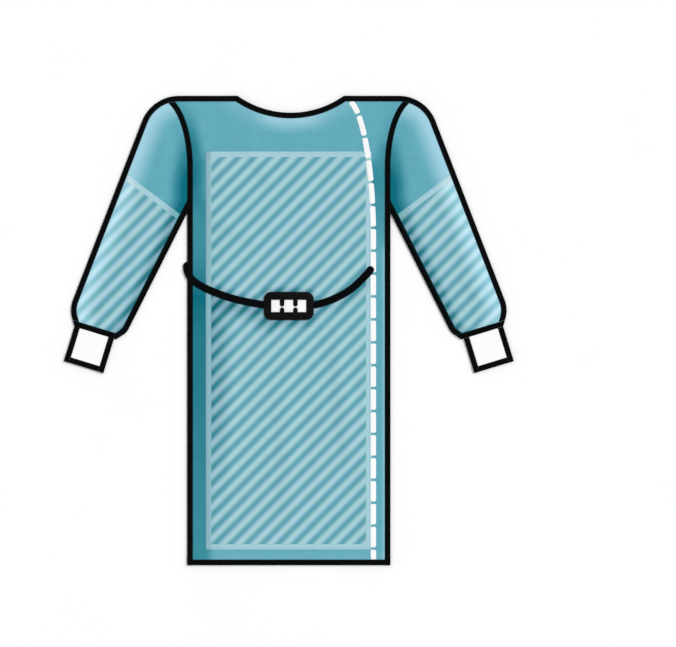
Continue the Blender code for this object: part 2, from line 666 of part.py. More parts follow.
def cuff(label, side):
    """One knitted cuff: a ribbed front, a plain back, and its black edges."""
    half = CUFF_HALF - EDGE
    down, levels, swell = np.array(CUFF_ROWS).T
    ribs = np.linspace(-RIB_SPAN, RIB_SPAN, 2 * RIBS + 1)
    across = [-half, *ribs, half]
    crest = [0, *((k % 2) * RIB_HEIGHT for k in range(len(ribs))), 0]
    plan = mirrored([[cuff_point(a, d) for a in across] for d in down], side)
    lower = np.dstack([plan, np.repeat(levels[:, None] * LAYER, len(across), axis=1)])
    upper = lower + (0, 0, WALL)
    upper[..., 2] += np.outer(swell, crest)
    wall(f"cuff_front_{label}", lower, upper, "white_knit")
    corners = ((-half, down[0]), (half, down[0]), (half, down[-1]), (-half, down[-1]))
    outline = mirrored([cuff_point(*corner) for corner in corners], side)
    plate(f"cuff_back_{label}", [outline], LAYER, WALL, "white_knit")

    stations = (TRIM / 2 + GAP, *down[-3:-1], CUFF_LENGTH)
    slot = (3 * LAYER, 3 * LAYER, 4 * LAYER, 4 * LAYER)
    for edge, sign in (("inner", -1), ("outer", 1)):
        path = [mirrored(cuff_point(sign * CUFF_HALF, d), side) for d in stations]
        over = mirrored(cuff_point(-sign, 0) - cuff_point(0, 0), side)
        bind(f"cuff_binding_{edge}_{label}", path, [over] * len(path), WALL, slot)
    width = CUFF_HALF - TRIM - GAP
    path = [mirrored(cuff_point(a, CUFF_LENGTH), side) for a in (-width, 0, width)]
    over = mirrored(cuff_point(0, -1) - cuff_point(0, 0), side)
    bind(f"cuff_hem_{label}", path, [over] * len(path), 2 * LAYER + WALL, 4 * LAYER)


# ---- tapes, ties and card -----------------------------------------------------------------------
def surface_of(names):
    """One search tree over the named bodies."""
    points, faces = [], []
    for name in names:
        mesh = bpy.data.objects[name].data
        first = len(points)
        points += [v.co.copy() for v in mesh.vertices]
        faces += [[first + k for k in p.vertices] for p in mesh.polygons]
    return BVHTree.FromPolygons(points, faces)


def top_at(tree, x, y):
    """The height of what is under a point, or nan."""
    hit = tree.ray_cast(Vector((x, y, RAY_TOP)), Vector((0, 0, -1)))[0]
    return math.nan if hit is None else hit.z


def drape(plan, tree, droop):
    """Heights that lay a ribbon's grid on what is under it, with one gap between.

    droop is how far it sinks a column where nothing is under it.
    """
    rows, columns = plan.shape[:2]
    heights = np.array([[top_at(tree, *p) for p in row] for row in plan]) + GAP
    for row in heights:
        held = np.flatnonzero(~np.isnan(row))
        for k in np.flatnonzero(np.isnan(row)) if len(held) else ():
            nearest = held[np.argmin(abs(held - k))]
            row[k] = row[nearest] - droop * abs(nearest - k)
    heights = np.where(np.isnan(heights), np.nanmin(heights), heights)
    samples = np.linspace(0, 1, DRAPE_SAMPLES)
    shares = [(a, b) for a in samples for b in samples]
    for _ in range(DRAPE_PASSES):
        for i in range(rows - 1):
            for j in range(columns - 1):
                cell = (slice(i, i + 2), slice(j, j + 2))
                for a, b in shares:
                    weights = np.outer((1 - a, a), (1 - b, b))
                    x, y = (plan[cell] * weights[..., None]).sum(axis=(0, 1))
                    short = top_at(tree, x, y) + GAP - (heights[cell] * weights).sum()
                    if short > 0:
                        heights[cell] += short
    return heights


def ribbon_plan(path, half_width, round_start, round_end):
    """A ribbon's plan grid of three columns about a path, with rounded ends where asked."""
    total = lengths(path)[-1]
    clear = END_CLEAR * half_width
    stations = list(np.linspace(0, total, round(total / TIE_STEP) + 1))
    if round_start:
        stations = [half_width * e for e in END_STATIONS] + [s for s in stations if s > clear]
    if round_end:
        stations = [s for s in stations if s < total - clear]
        stations += [total - half_width * e for e in reversed(END_STATIONS)]
    rows = []
    for s in stations:
        here, ahead = walk(path, s - TIE_STEP / 4), walk(path, s + TIE_STEP / 4)
        along = (ahead - here) / np.linalg.norm(ahead - here)
        right = np.array((along[1], -along[0]))
        start_room = s if round_start else half_width
        end_room = total - s if round_end else half_width
        room = min(start_room, end_room, half_width)
        width = math.sqrt(half_width ** 2 - (half_width - room) ** 2)
        rows.append([walk(path, s) + w * right for w in (-width, 0, width)])
    return np.array(rows)


def smooth_path(points):
    """A smooth curve through the points."""
    points = np.asarray(points, float)
    padded = np.vstack([2 * points[0] - points[1], points, 2 * points[-1] - points[-2]])
    curve = []
    for a, b, c, d in zip(padded, padded[1:], padded[2:], padded[3:]):
        for t in np.arange(CURVE_STEPS) / CURVE_STEPS:
            bend = (2 * a - 5 * b + 4 * c - d) * t ** 2 + (3 * b - a - 3 * c + d) * t ** 3
            curve.append(b + ((c - a) * t + bend) / 2)
    return np.array([*curve, points[-1]])


def armhole_tape(label, side):
    """Black tape over the armhole seam, from the underarm up to the shoulder and sleeve bindings."""
    seam = np.array([(seam_x(y), y) for y in (UNDERARM_Y + GAP, *ARMHOLE_HEIGHTS)])
    head = np.array((SHOULDER_END, SHOULDER_Y - SLEEVE_HEAD_RADIUS))
    reach = SLEEVE_HEAD_RADIUS - TRIM - GAP
    columns = []
    for shift in (-TRIM / 2, 0, TRIM / 2):
        line = offset(seam, shift)
        dense = np.array([walk(line, d) for d in np.linspace(0, lengths(line)[-1], SECTION_SAMPLES)])
        inside = (dense[:, 1] < head[1]) | (np.linalg.norm(dense - head, axis=1) < reach)
        end = lengths(dense)[int(np.argmin(inside)) - 1 if not inside.all() else -1]
        columns.append([walk(line, distance) for distance in np.linspace(0, end, TAPE_STATIONS)])
    plan = mirrored(np.array(columns).transpose(1, 0, 2), side)
    tree = surface_of(["front_panel", f"sleeve_front_{label}"])
    ply(f"armhole_binding_{label}", plan, drape(plan, tree, 0), WALL, "black_binding")


def cuff_seam_point(share, down):
    """A place on the cuff seam's tape, whose ends run on in line with the sleeve's edges."""
    up = -down / (TRIM / 2)
    inner, outer = CUFF_SEAM_INNER - CUFF_SEAM_SLANTS[0] * up, CUFF_SEAM_OUTER + CUFF_SEAM_SLANTS[1] * up
    return cuff_point(inner + share * (outer - inner), down)


def cuff_seam(label, side):
    """Black tape over the seam between sleeve and cuff."""
    shares = np.linspace(0, 1, CUFF_SEAM_STATIONS)
    plan = mirrored([[cuff_seam_point(s, d) for d in (-TRIM / 2, 0, TRIM / 2)] for s in shares], side)
    ply(f"cuff_seam_{label}", plan, np.full(plan.shape[:2], 3 * LAYER), WALL, "black_binding")


def ties():
    """The belt: each tie runs from its sewn end, rounded, to under the card."""
    tree = surface_of(["front_panel", "reinforcement_front", "side_binding_left"])
    for name, points, round_start in (("tie_left", LEFT_TIE, True), ("tie_right", RIGHT_TIE, False)):
        plan = ribbon_plan(smooth_path(points), TIE_WIDTH / 2, round_start, not round_start)
        ply(name, plan, drape(plan, tree, TIE_DROOP), WALL, "black_binding")


def rounded_rectangle(width, height, radius, middle):
    """A rectangle's outline with round corners, counterclockwise."""
    points = []
    for quarter, (sx, sy) in enumerate(((1, 1), (-1, 1), (-1, -1), (1, -1))):
        cx = middle[0] + sx * (width / 2 - radius)
        cy = middle[1] + sy * (height / 2 - radius)
        for k in range(CORNER_STEPS + 1):
            angle = math.pi / 2 * (quarter + k / CORNER_STEPS)
            points.append((cx + radius * math.cos(angle), cy + radius * math.sin(angle)))
    return points


def window_outline():
    """The frame's window: one slot, with four stubs left of its two broken bars."""
    half_w, half_h = WINDOW_SIZE[0] / 2, WINDOW_SIZE[1] / 2
    tip, radius = BAR_BREAK / 2, BAR_WIDTH / 2
    points = []
    for sy in (-1, 1):
        points.append((sy * half_w, sy * half_h))
        for sx in (sy, -sy):
            middle = sx * BAR_X
            points.append((middle + sy * radius, sy * half_h))
            for angle in np.linspace(0, math.pi, STUB_STEPS + 1):
                points.append((
                    middle + sy * radius * math.cos(angle),
                    sy * (tip + radius - radius * math.sin(angle)) - BAR_DROP,
                ))
            points.append((middle - sy * radius, sy * half_h))
        points.append((-sy * half_w, sy * half_h))
    return [(x, y + CARD_Y) for x, y in points]


def card():
    """The tie card: a white card over both tie ends, and its black slotted frame."""
    tree = surface_of(["front_panel", "reinforcement_front", "tie_left", "tie_right"])
    width, height = CARD_SIZE
    xs, ys = (np.linspace(-a / 2, a / 2, count) for a, count in zip(CARD_SIZE, CARD_SAMPLES))
    rest = GAP + max(top_at(tree, x, y + CARD_Y) for x in xs for y in ys)
    outline = rounded_rectangle(width, height, CARD_CORNER, (0, CARD_Y))
    plate("card", [outline], rest, CARD_WALL, "white_card")
    frame_rest = rest + CARD_WALL + GAP
    plate("card_frame", [outline, window_outline()], frame_rest, FRAME_WALL, "black_plastic")


# ---- the gown -----------------------------------------------------------------------------------
def gown():
    plan = front_plan()
    heights = front_heights(plan)
    ply("front_panel", plan, heights, WALL, "gown_cloth")
    patch_rows = slice(PATCH_ROW, 1 - len(YOKE_RISE))
    patch_columns = slice(PATCH_COLUMN, -PATCH_COLUMN)
    patch_on("reinforcement_front", plan, heights, patch_rows, patch_columns)
    wrap_panel()
    under_panel()
    side_bindings()
    hem_binding()
    neck_and_shoulder_bindings(plan, heights)
    for label, side in SIDES:
        sleeve_bindings(label, side, sleeve(label, side))
        armhole_tape(label, side)
        cuff_seam(label, side)
        cuff(label, side)
    ties()
    card()


clear_scene()
gown()
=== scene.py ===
"""Surgical gown laid out flat, its front facing up: the finished cloth, trim and sewing.

X runs across the gown, Y from hem to neck, Z up, in metres. "left" is the -X side. The plies of cloth
lie on each other in whole layers, as in the frame, and every height comes from the same functions, so
that a finer shell keeps clear of its neighbours.
"""

import math

import bmesh
import bpy
import numpy as np
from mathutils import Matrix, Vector
from mathutils.bvhtree import BVHTree
from mathutils.geometry import tessellate_polygon


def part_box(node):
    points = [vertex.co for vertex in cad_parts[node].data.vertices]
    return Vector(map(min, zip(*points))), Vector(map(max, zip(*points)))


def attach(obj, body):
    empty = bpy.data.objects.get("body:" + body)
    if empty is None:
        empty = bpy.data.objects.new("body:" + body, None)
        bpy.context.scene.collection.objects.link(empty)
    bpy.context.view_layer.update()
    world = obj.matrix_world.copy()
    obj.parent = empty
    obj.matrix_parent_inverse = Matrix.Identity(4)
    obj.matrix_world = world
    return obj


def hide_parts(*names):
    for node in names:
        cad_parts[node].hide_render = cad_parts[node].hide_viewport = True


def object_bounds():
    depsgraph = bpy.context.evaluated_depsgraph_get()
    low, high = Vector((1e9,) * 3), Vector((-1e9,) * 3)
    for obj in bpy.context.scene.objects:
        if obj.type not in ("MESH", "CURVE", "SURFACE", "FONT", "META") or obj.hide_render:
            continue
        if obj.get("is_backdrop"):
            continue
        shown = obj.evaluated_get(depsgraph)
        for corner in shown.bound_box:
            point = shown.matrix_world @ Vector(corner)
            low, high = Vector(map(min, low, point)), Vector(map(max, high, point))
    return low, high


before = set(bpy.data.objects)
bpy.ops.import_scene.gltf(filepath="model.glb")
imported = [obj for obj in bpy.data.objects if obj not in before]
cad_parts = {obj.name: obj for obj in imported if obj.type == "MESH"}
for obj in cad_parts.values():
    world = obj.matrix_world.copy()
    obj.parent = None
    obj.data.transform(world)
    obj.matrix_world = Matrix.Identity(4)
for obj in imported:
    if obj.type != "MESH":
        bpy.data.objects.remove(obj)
CAD_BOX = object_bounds()

# ---- driving dimensions, as the frame's pieces have them ----------------------------------------
LENGTH = 1.250          # shoulder to hem
BODY_HALF = 0.2706      # centre line to the outside of a side binding
WALL = 0.0012           # one ply of cloth, and one leg of a binding
GAP = 0.0003            # between pieces that touch
LAYER = WALL + GAP      # one ply and its gap
TRIM = 0.0150           # width of the black bindings and tapes
WEB = 0.0020            # a binding's fold, outside the cloth's edge

SHOULDER_Y = LENGTH / 2
HEM_Y = -LENGTH / 2
NECK_X = 0.005          # the neck scoop's middle
NECK_HALF = 0.1415
NECK_DEPTH = 0.045
NECK_RADIUS = (NECK_HALF ** 2 + NECK_DEPTH ** 2) / (2 * NECK_DEPTH)
BACK_NECK_DROP = 0.003  # the back neckline is cut lower than the front one

SEAM_X = BODY_HALF - TRIM / 2
ARMHOLE_LOW = 0.4331    # below this the armhole seam is straight
ARMHOLE_WIDE = 0.0765   # the quarter ellipse above it
ARMHOLE_TALL = 0.1866
ARMHOLE_START, ARMHOLE_TOP = 0.3333, 0.617

SHOULDER_END = 0.2928   # where the shoulder line turns into the sleeve head
SLEEVE_HEAD, SLEEVE_HEAD_RADIUS = (0.3648, SHOULDER_Y), 0.105
SLEEVE_OUTER, SLEEVE_OUTER_RADIUS = (0.5847, 0.0564), 0.078
UNDERARM = (SEAM_X, 0.3285)
SLEEVE_INNER, SLEEVE_INNER_RADIUS = (0.4320, -0.0060), 0.045
UNDERARM_Y = 0.3137    # where the sleeve leaves the side binding
ARC_STEP = math.radians(3)

CUFF_TOP = (0.5163, 0.0016)
CUFF_TILT = math.radians(17)
CUFF_HALF = 0.055
CUFF_LENGTH = 0.1037
CUFF_SEAM_INNER, CUFF_SEAM_OUTER = -0.068, 0.0595
CUFF_SEAM_SLANTS = (0.0062, 0.0050)    # how far its tape's upper corners reach past these
RIBS = 16
RIB_HEIGHT = 0.0006
RIB_SPAN = 0.0385       # ribs reach this far each side of the cuff's middle
RIBS_FROM, RIBS_TO = 0.0084, 0.0780    # and run between these places down the cuff
RIB_FADE = 0.0040
RIB_FULLNESS, LOOP_DEPTH = 0.8, 0.16    # how boxy a rib is, and how deep its loops are, as a share

INSET = 0.0163          # cloth stays level this far in from a bound edge
EDGE = WEB + GAP        # cloth stops this far inside a binding's outer face
SIDE_EDGE = BODY_HALF - EDGE
SETTLE = 0.026          # the cloth comes to its free height over this distance past the inset
LIFT = 0.0006           # the front's rest height above the bound edges
SLEEVE_CROWN = 0.0016
CROWN_RISE = 0.050      # the crown's distance from the bound edges to its full height

PATCH_LEFT, PATCH_RIGHT = -0.221, 0.220
PATCH_TOP, PATCH_BOTTOM = 0.4764, -0.5837
PATCH_WALL = 0.0010
PATCH_ROUND = 0.0010    # the front's grid has a line this far inside the patch's edge

WRAP_EDGE_X = 0.225     # the wrap flap's free edge, then a quarter ellipse up to the neck
WRAP_TURN_X, WRAP_TURN_Y = 0.1522, 0.2412
WRAP_TALL = 0.373
WRAP_TOP = 0.607
UNDER_TOP_X, UNDER_HEM_X = -0.100, -0.150
BACK_HEM_Y = HEM_Y + 0.0008     # both flaps end just short of the hem binding that covers them

TIE_WIDTH = 0.020
CARD_SIZE = (0.133, 0.075)
CARD_Y = 0.0653
CARD_CORNER = 0.020
CARD_WALL, FRAME_WALL = 0.0010, 0.0020
CARD_ROUND, FRAME_ROUND = 0.00025, 0.0005   # how far their rims are rounded
WINDOW_SIZE = (0.0932, 0.0328)
BAR_X, BAR_WIDTH, BAR_BREAK = 0.0178, 0.0118, 0.0024
BAR_DROP = 0.0027       # the bars' breaks lie this far under the window's middle

EDGE_REACH = 0.25       # the armholes' curve fades out of the grid within this share of its width
SECTION_SAMPLES = 240
POINTS_AT_ONCE = 2000   # distances are worked out in batches about this large
RAY_TOP = 0.2
SIDES = (("left", -1), ("right", 1))

# Mesh fineness
CLOTH_PITCH = 0.0050
PLAIN_PITCH = 0.0100    # on the hidden panels
TAPE_PITCH = 0.0040
SEAM_PITCH = 0.0010
KNIT_PITCH = 0.0007
WALE_STEPS = 8
BINDING_PITCH = 0.0055
SLEEVE_COLUMNS = 40
TAPE_COLUMNS, TAPE_STATIONS, TIE_COLUMNS = 7, 90, 9
CURVE_STEPS, CORNER_STEPS, STUB_STEPS = 10, 12, 8
SHARP_ANGLE, CARD_SHARP_ANGLE = math.radians(50), math.radians(40)
FLAT_ANGLE, RIM_ANGLE = math.radians(1), math.radians(30)   # a plate's edges between these stay as cut

# Sleeve sections: distance along the outer and the inner edge, and how much of the armhole's curve
# the section keeps. The one marked by PATCH_SECTION is the sleeve patch's upper edge.
SLEEVE_SECTIONS = np.array((
    (0.0375, 0.0000, 1.00), (0.0530, 0.0040, 0.90), (0.0760, 0.0080, 0.75), (0.1010, 0.0120, 0.60),
    (0.1260, 0.0160, 0.45), (0.1720, 0.0207, 0.30), (0.2200, 0.0255, 0.15), (0.2694, 0.0318, 0.00),
    (0.3100, 0.0675, 0.00), (0.3520, 0.1048, 0.00), (0.3940, 0.1431, 0.00), (0.4360, 0.1814, 0.00),
    (0.4780, 0.2197, 0.00), (0.5200, 0.2580, 0.00), (0.5620, 0.2943, 0.00), (0.6000, 0.3228, 0.00),
    (0.6340, 0.3463, 0.00), (0.6600, 0.3620, 0.00), (0.6800, 0.3748, 0.00), (0.6912, 0.3863, 0.00),
    (0.7010, 0.3970, 0.00),
))
PATCH_SECTION = 7
LEVEL_SECTION = 18      # from here on the sleeve lies level for the cuff seam
UNDERARM_SECTION = 4    # the inner binding follows the sleeve's edge from this section on

# Soft folds: from, to, half width and height.
FRONT_FOLDS = (
    (-0.232, 0.330, -0.060, 0.215, 0.030, 0.0030),
    (0.234, 0.345, 0.090, 0.240, 0.032, 0.0026),
    (-0.150, 0.035, -0.176, -0.430, 0.036, 0.0032),
    (0.118, 0.055, 0.168, -0.370, 0.038, 0.0030),
    (-0.020, -0.110, 0.012, -0.540, 0.042, 0.0026),
    (-0.130, 0.530, -0.035, 0.375, 0.034, 0.0020),
    (0.178, 0.545, 0.118, 0.400, 0.032, 0.0019),
    (0.200, -0.300, 0.214, -0.590, 0.032, 0.0020),
    (-0.215, -0.250, -0.200, -0.570, 0.030, 0.0018),
)
SLEEVE_FOLDS = {
    "left": (
        (0.310, 0.550, 0.352, 0.440, 0.026, 0.0022), (0.330, 0.330, 0.415, 0.375, 0.024, 0.0020),
        (0.385, 0.250, 0.490, 0.285, 0.024, 0.0024), (0.430, 0.175, 0.500, 0.120, 0.022, 0.0018),
    ),
    "right": (
        (0.305, 0.500, 0.365, 0.415, 0.026, 0.0020), (0.345, 0.275, 0.430, 0.330, 0.026, 0.0024),
        (0.390, 0.190, 0.470, 0.225, 0.024, 0.0018), (0.455, 0.150, 0.515, 0.075, 0.022, 0.0022),
    ),
}

# Finer creases over the folds: ridges (+) and troughs (-) that pull from the underarms, the belt and
# the neck, and the two creases that folding for the pack has left across and down the front.
FRONT_CREASES = (
    (-0.246, 0.318, -0.150, 0.262, 0.011, 0.0010), (-0.240, 0.296, -0.168, 0.225, 0.009, -0.0007),
    (-0.250, 0.352, -0.118, 0.330, 0.013, 0.0009), (0.247, 0.322, 0.163, 0.258, 0.010, 0.0010),
    (0.244, 0.300, 0.186, 0.232, 0.008, -0.0006), (0.251, 0.361, 0.142, 0.348, 0.012, 0.0008),
    (-0.098, 0.062, -0.133, -0.094, 0.010, 0.0008), (-0.071, 0.050, -0.082, -0.061, 0.008, 0.0006),
    (0.081, 0.052, 0.102, -0.083, 0.009, 0.0008), (0.134, 0.078, 0.187, -0.031, 0.010, 0.0007),
    (-0.187, 0.085, -0.222, -0.066, 0.009, 0.0007), (-0.112, 0.552, -0.061, 0.468, 0.010, 0.0007),
    (-0.020, 0.548, -0.010, 0.478, 0.008, 0.0005), (0.094, 0.556, 0.062, 0.471, 0.010, 0.0007),
    (-0.203, -0.160, -0.186, -0.327, 0.009, 0.0006), (0.203, -0.129, 0.187, -0.296, 0.010, 0.0007),
    (-0.064, -0.214, -0.049, -0.402, 0.011, 0.0006), (0.063, -0.261, 0.082, -0.476, 0.010, 0.0007),
    (-0.118, -0.396, -0.104, -0.566, 0.009, 0.0006), (0.131, -0.421, 0.126, -0.572, 0.009, 0.0006),
    (-0.190, 0.430, -0.120, 0.398, 0.009, 0.0006), (0.196, 0.441, 0.118, 0.412, 0.009, 0.0006),
    (-0.214, -0.148, 0.006, -0.142, 0.005, -0.0005), (0.000, -0.143, 0.212, -0.150, 0.005, -0.0005),
    (0.002, 0.020, -0.002, -0.270, 0.005, 0.0005), (-0.001, -0.265, 0.003, -0.570, 0.005, 0.0005),
)
SLEEVE_CREASES = {
    "left": (
        (0.286, 0.385, 0.352, 0.412, 0.010, 0.0009), (0.300, 0.350, 0.367, 0.362, 0.009, -0.0006),
        (0.333, 0.291, 0.396, 0.316, 0.009, 0.0007), (0.360, 0.222, 0.433, 0.236, 0.008, 0.0007),
        (0.447, 0.302, 0.402, 0.281, 0.009, 0.0006), (0.404, 0.151, 0.462, 0.171, 0.008, 0.0006),
        (0.425, 0.098, 0.470, 0.128, 0.008, 0.0007), (0.544, 0.113, 0.497, 0.101, 0.008, 0.0006),
        (0.350, 0.520, 0.330, 0.462, 0.009, 0.0006), (0.486, 0.052, 0.500, 0.100, 0.006, 0.0006),
        (0.520, 0.044, 0.524, 0.090, 0.006, 0.0006),
    ),
    "right": (
        (0.288, 0.398, 0.341, 0.436, 0.010, 0.0009), (0.305, 0.338, 0.379, 0.371, 0.009, 0.0007),
        (0.321, 0.311, 0.372, 0.320, 0.008, -0.0006), (0.352, 0.243, 0.414, 0.262, 0.009, 0.0007),
        (0.462, 0.262, 0.420, 0.236, 0.009, 0.0006), (0.388, 0.168, 0.448, 0.152, 0.008, 0.0006),
        (0.432, 0.108, 0.488, 0.120, 0.008, 0.0007), (0.536, 0.136, 0.498, 0.140, 0.008, 0.0005),
        (0.366, 0.506, 0.338, 0.466, 0.009, 0.0006), (0.493, 0.050, 0.495, 0.095, 0.006, 0.0006),
        (0.531, 0.046, 0.518, 0.086, 0.006, 0.0006),
    ),
}

CLOTH_ROUND = 0.0003    # a ply's rim is this much lower than its face
PATCH_RIM_ROUND = 0.0005
PATCH_BAND = 0.0145     # the plain light band around the front's patch, and atop the sleeves' patches
CUFF_SECTION = 19       # where the sleeve's bindings and patch end
SLEEVE_MARGIN = 2       # the sleeve's grid lines outside its patch, on each side
TAPE_THIN = 0.0002      # tapes and ties are this much thinner than a ply at their crown's foot
TAPE_CROWN, TIE_CROWN = 0.0002, 0.0003
TAPE_EDGE_DROP = 0.0003
TAPE_LOOK = 0.003       # a tape's direction is taken over this distance each way
TIE_DROOP = 0.12        # a tie's slope where nothing is under it
TIE_POINTS_ROUND_SIDE = 12      # the left tie's first curve points, which go round the side
STRIP_WIDTH = 0.0366    # the strip that a binding is folded from
BINDING_FOLD, BINDING_TIP = 0.0014, 0.0003          # the radii of its fold and of its raw edges
BINDING_PUFF, BINDING_PRESSED = 0.00018, 0.00012    # its rise between fold and seam, its dip at the seam

# Sewing
SEW_IN = 0.0024         # a stitch line's distance from a binding's raw edge
TAPE_SEW_IN = 0.0018
TIE_SEW_IN = 0.0022
PATCH_SEW_IN = 0.0040
STITCH_PITCH, STITCH_LENGTH, THREAD = 0.0034, 0.0026, 0.00042
THREAD_SUNK = 0.0001    # how deep a stitch sits in a binding
DASH_WIDTH, DASH_PITCH, DASH_GAP = 0.0145, 0.0610, 0.0065
DASH_START_Y = 0.0905   # one of the gaps between the white dashes
DASH_THREAD = 0.0009
DASH_DOME, DASH_EDGE = 0.0009, 0.0004      # its height in the middle, and at its sides and ends
DASH_CORNER = 0.0045
DASH_FADE = 0.0040      # it comes to its full height this far from its ends
DASH_RIDGE = 0.00013    # each thread rises and dips by this much
DASH_SUNK = 0.8         # the share of the gap under it that a dash fills
DASH_COLUMNS, TACK_PITCH = 9, 0.0020
DASH_WAVERS = ((0.00012, 911.0, 0.0), (0.00010, 2357.0, -math.pi / 2))  # height, radians a metre, start

# Low creases on the hidden side: from, to, half width and height. The wrap flap's are drawn from
# its right, with its free edge on the left.
WRAP_CREASES = (
    (0.195, 0.250, 0.232, 0.020, 0.012, 0.0008), (0.205, -0.080, 0.188, -0.330, 0.014, 0.0007),
    (0.222, -0.300, 0.214, -0.520, 0.010, 0.0006), (0.176, 0.330, 0.236, 0.290, 0.011, 0.0007),
    (0.184, -0.420, 0.196, -0.590, 0.011, 0.0006), (0.190, 0.110, 0.178, -0.060, 0.010, 0.0005),
)
SLEEVE_BACK_CREASES = (
    (0.305, 0.420, 0.372, 0.452, 0.014, 0.0009), (0.325, 0.340, 0.405, 0.352, 0.012, 0.0008),
    (0.368, 0.255, 0.446, 0.283, 0.012, 0.0008), (0.402, 0.180, 0.478, 0.196, 0.011, 0.0007),
    (0.440, 0.110, 0.520, 0.140, 0.011, 0.0007), (0.340, 0.530, 0.395, 0.430, 0.014, 0.0008),
)

# The belt's centre line, from the left side over the front to the card, and on to the right.
LEFT_TIE = (
    (-0.2697, 0.1826), (-0.2710, 0.1612), (-0.2568, 0.1346), (-0.2156, 0.1093), (-0.1517, 0.0858),
    (-0.0877, 0.0717), (-0.0500, 0.0670),
)
RIGHT_TIE = (
    (0.0500, 0.0667), (0.0829, 0.0714), (0.1255, 0.0869), (0.1682, 0.1120), (0.2108, 0.1537),
    (0.2215, 0.1704),
)


# ---- plan geometry ------------------------------------------------------------------------------
def unit(vectors):
    """The same directions, one metre long."""
    vectors = np.asarray(vectors, float)
    return vectors / np.linalg.norm(vectors, axis=-1, keepdims=True)


def to_right(directions):
    """The directions turned a quarter to the right."""
    return np.stack([directions[..., 1], -directions[..., 0]], axis=-1)


def normals(path):
    """Unit normals of a path, to its right, widened at the corners so that offsets stay parallel."""
    right = to_right(unit(np.diff(np.asarray(path, float), axis=0)))
    before, after = np.vstack([right[:1], right]), np.vstack([right, right[-1:]])
    middle = unit(before + after)
    return middle / (middle * after).sum(axis=1)[:, None]


def offset(path, distance):
    """A path moved that far to its right."""
    return np.asarray(path, float) + distance * normals(path)


def rounded_path(corners, radii):
    """A path through straight runs, with an arc of each radius at each inner corner."""
    points = [np.array(corners[0], float)]
    for before, corner, after, radius in zip(corners, corners[1:], corners[2:], radii):
        before, corner, after = (np.array(p, float) for p in (before, corner, after))
        come, leave = unit(corner - before), unit(after - corner)
        turn = math.atan2(come[0] * leave[1] - come[1] * leave[0], come @ leave)
        start = corner - come * radius * math.tan(abs(turn) / 2)
        side = np.array((-come[1], come[0])) * math.copysign(1, turn)
        steps = max(2, math.ceil(abs(turn) / ARC_STEP))
        for angle in np.linspace(0, abs(turn), steps + 1):
            points.append(start + radius * (come * math.sin(angle) + side * (1 - math.cos(angle))))
    points.append(np.array(corners[-1], float))
    return np.array(points)


def lengths(path):
    """How far along a path each of its points lies."""
    return np.concatenate([[0], np.cumsum(np.linalg.norm(np.diff(path, axis=0), axis=1))])


def walk(path, distance):
    """The point at a distance along a path, or the points at several."""
    travelled = lengths(path)
    return np.stack([np.interp(distance, travelled, path[:, k]) for k in range(path.shape[1])], axis=-1)


def evenly(path, pitch):
    """The path's points again, a pitch apart, its ends kept."""
    total = lengths(path)[-1]
    return walk(np.asarray(path, float), np.linspace(0, total, max(2, round(total / pitch) + 1)))


def filled(stops, pitch):
    """Numbers that pass through all the stops, no more than a pitch apart."""
    values = [stops[0]]
    for a, b in zip(stops, stops[1:]):
        steps = max(1, math.ceil(abs(b - a) / pitch - 1e-6))
        values += list(np.linspace(a, b, steps + 1)[1:])
    return np.array(values)


def distances(path, points):
    """Each point's distance from a path."""
    a, run = path[:-1], np.diff(path, axis=0)
    long = (run * run).sum(axis=1)
    a, run, long = a[long > 0], run[long > 0], long[long > 0]
    away = []
    for some in np.array_split(points, len(points) // POINTS_AT_ONCE + 1):
        share = ((some[:, None] - a) * run).sum(axis=2) / long
        closest = a + np.clip(share, 0, 1)[..., None] * run
        away.append(np.linalg.norm(some[:, None] - closest, axis=2).min(axis=1))
    return np.concatenate(away)


def smooth(share):
    """An even rise from 0 to 1 that starts and ends softly."""
    share = np.clip(share, 0, 1)
    return share * share * (3 - 2 * share)


def nearest(values, target):
    """The number of the value that lies nearest to a target."""
    return int(np.argmin(abs(values - target)))


def upright(x, heights):
    """Points at each height, at one x or at an x for each."""
    return np.stack([np.broadcast_to(x, np.shape(heights)), heights], axis=1)


def mirrored(points, side):
    """Points of the right side, or of the left one where side is -1."""
    return np.asarray(points, float) * (side, 1)


def seam_x(y):
    """The armhole seam's distance from the centre line at a height."""
    rise = np.clip((np.asarray(y, float) - ARMHOLE_LOW) / ARMHOLE_TALL, 0, 1)
    return SEAM_X + ARMHOLE_WIDE * (1 - np.sqrt(1 - rise * rise))


def scoop_y(x, drop=0.0):
    """The neck scoop's edge at x, or that of a neckline cut lower by drop."""
    radius = NECK_RADIUS + drop
    centre = SHOULDER_Y - NECK_DEPTH + NECK_RADIUS
    return centre - np.sqrt(radius ** 2 - (np.asarray(x, float) - NECK_X) ** 2)


def neck_corner(side, drop):
    """Where the shoulder's cloth edge meets a neckline cut lower by drop."""
    centre = SHOULDER_Y - NECK_DEPTH + NECK_RADIUS
    half = math.sqrt((NECK_RADIUS + drop) ** 2 - (centre - (SHOULDER_Y - drop)) ** 2)
    return np.array((NECK_X + side * half, SHOULDER_Y - drop))


def wrap_edge_x(y):
    """The wrap flap's free edge at a height."""
    rise = np.clip((np.asarray(y, float) - WRAP_TURN_Y) / WRAP_TALL, 0, 1)
    return WRAP_TURN_X + (WRAP_EDGE_X - WRAP_TURN_X) * np.sqrt(1 - rise * rise)


def armhole(shift, pitch):
    """The right armhole's line, moved outward by shift, and the number of its point at PATCH_TOP."""
    runs = []
    for low, high in ((ARMHOLE_START, PATCH_TOP), (PATCH_TOP, ARMHOLE_TOP)):
        heights = np.linspace(low, high, SECTION_SAMPLES)
        runs.append(evenly(upright(seam_x(heights), heights), pitch))
    return offset(np.vstack([runs[0], runs[1][1:]]), shift), len(runs[0]) - 1


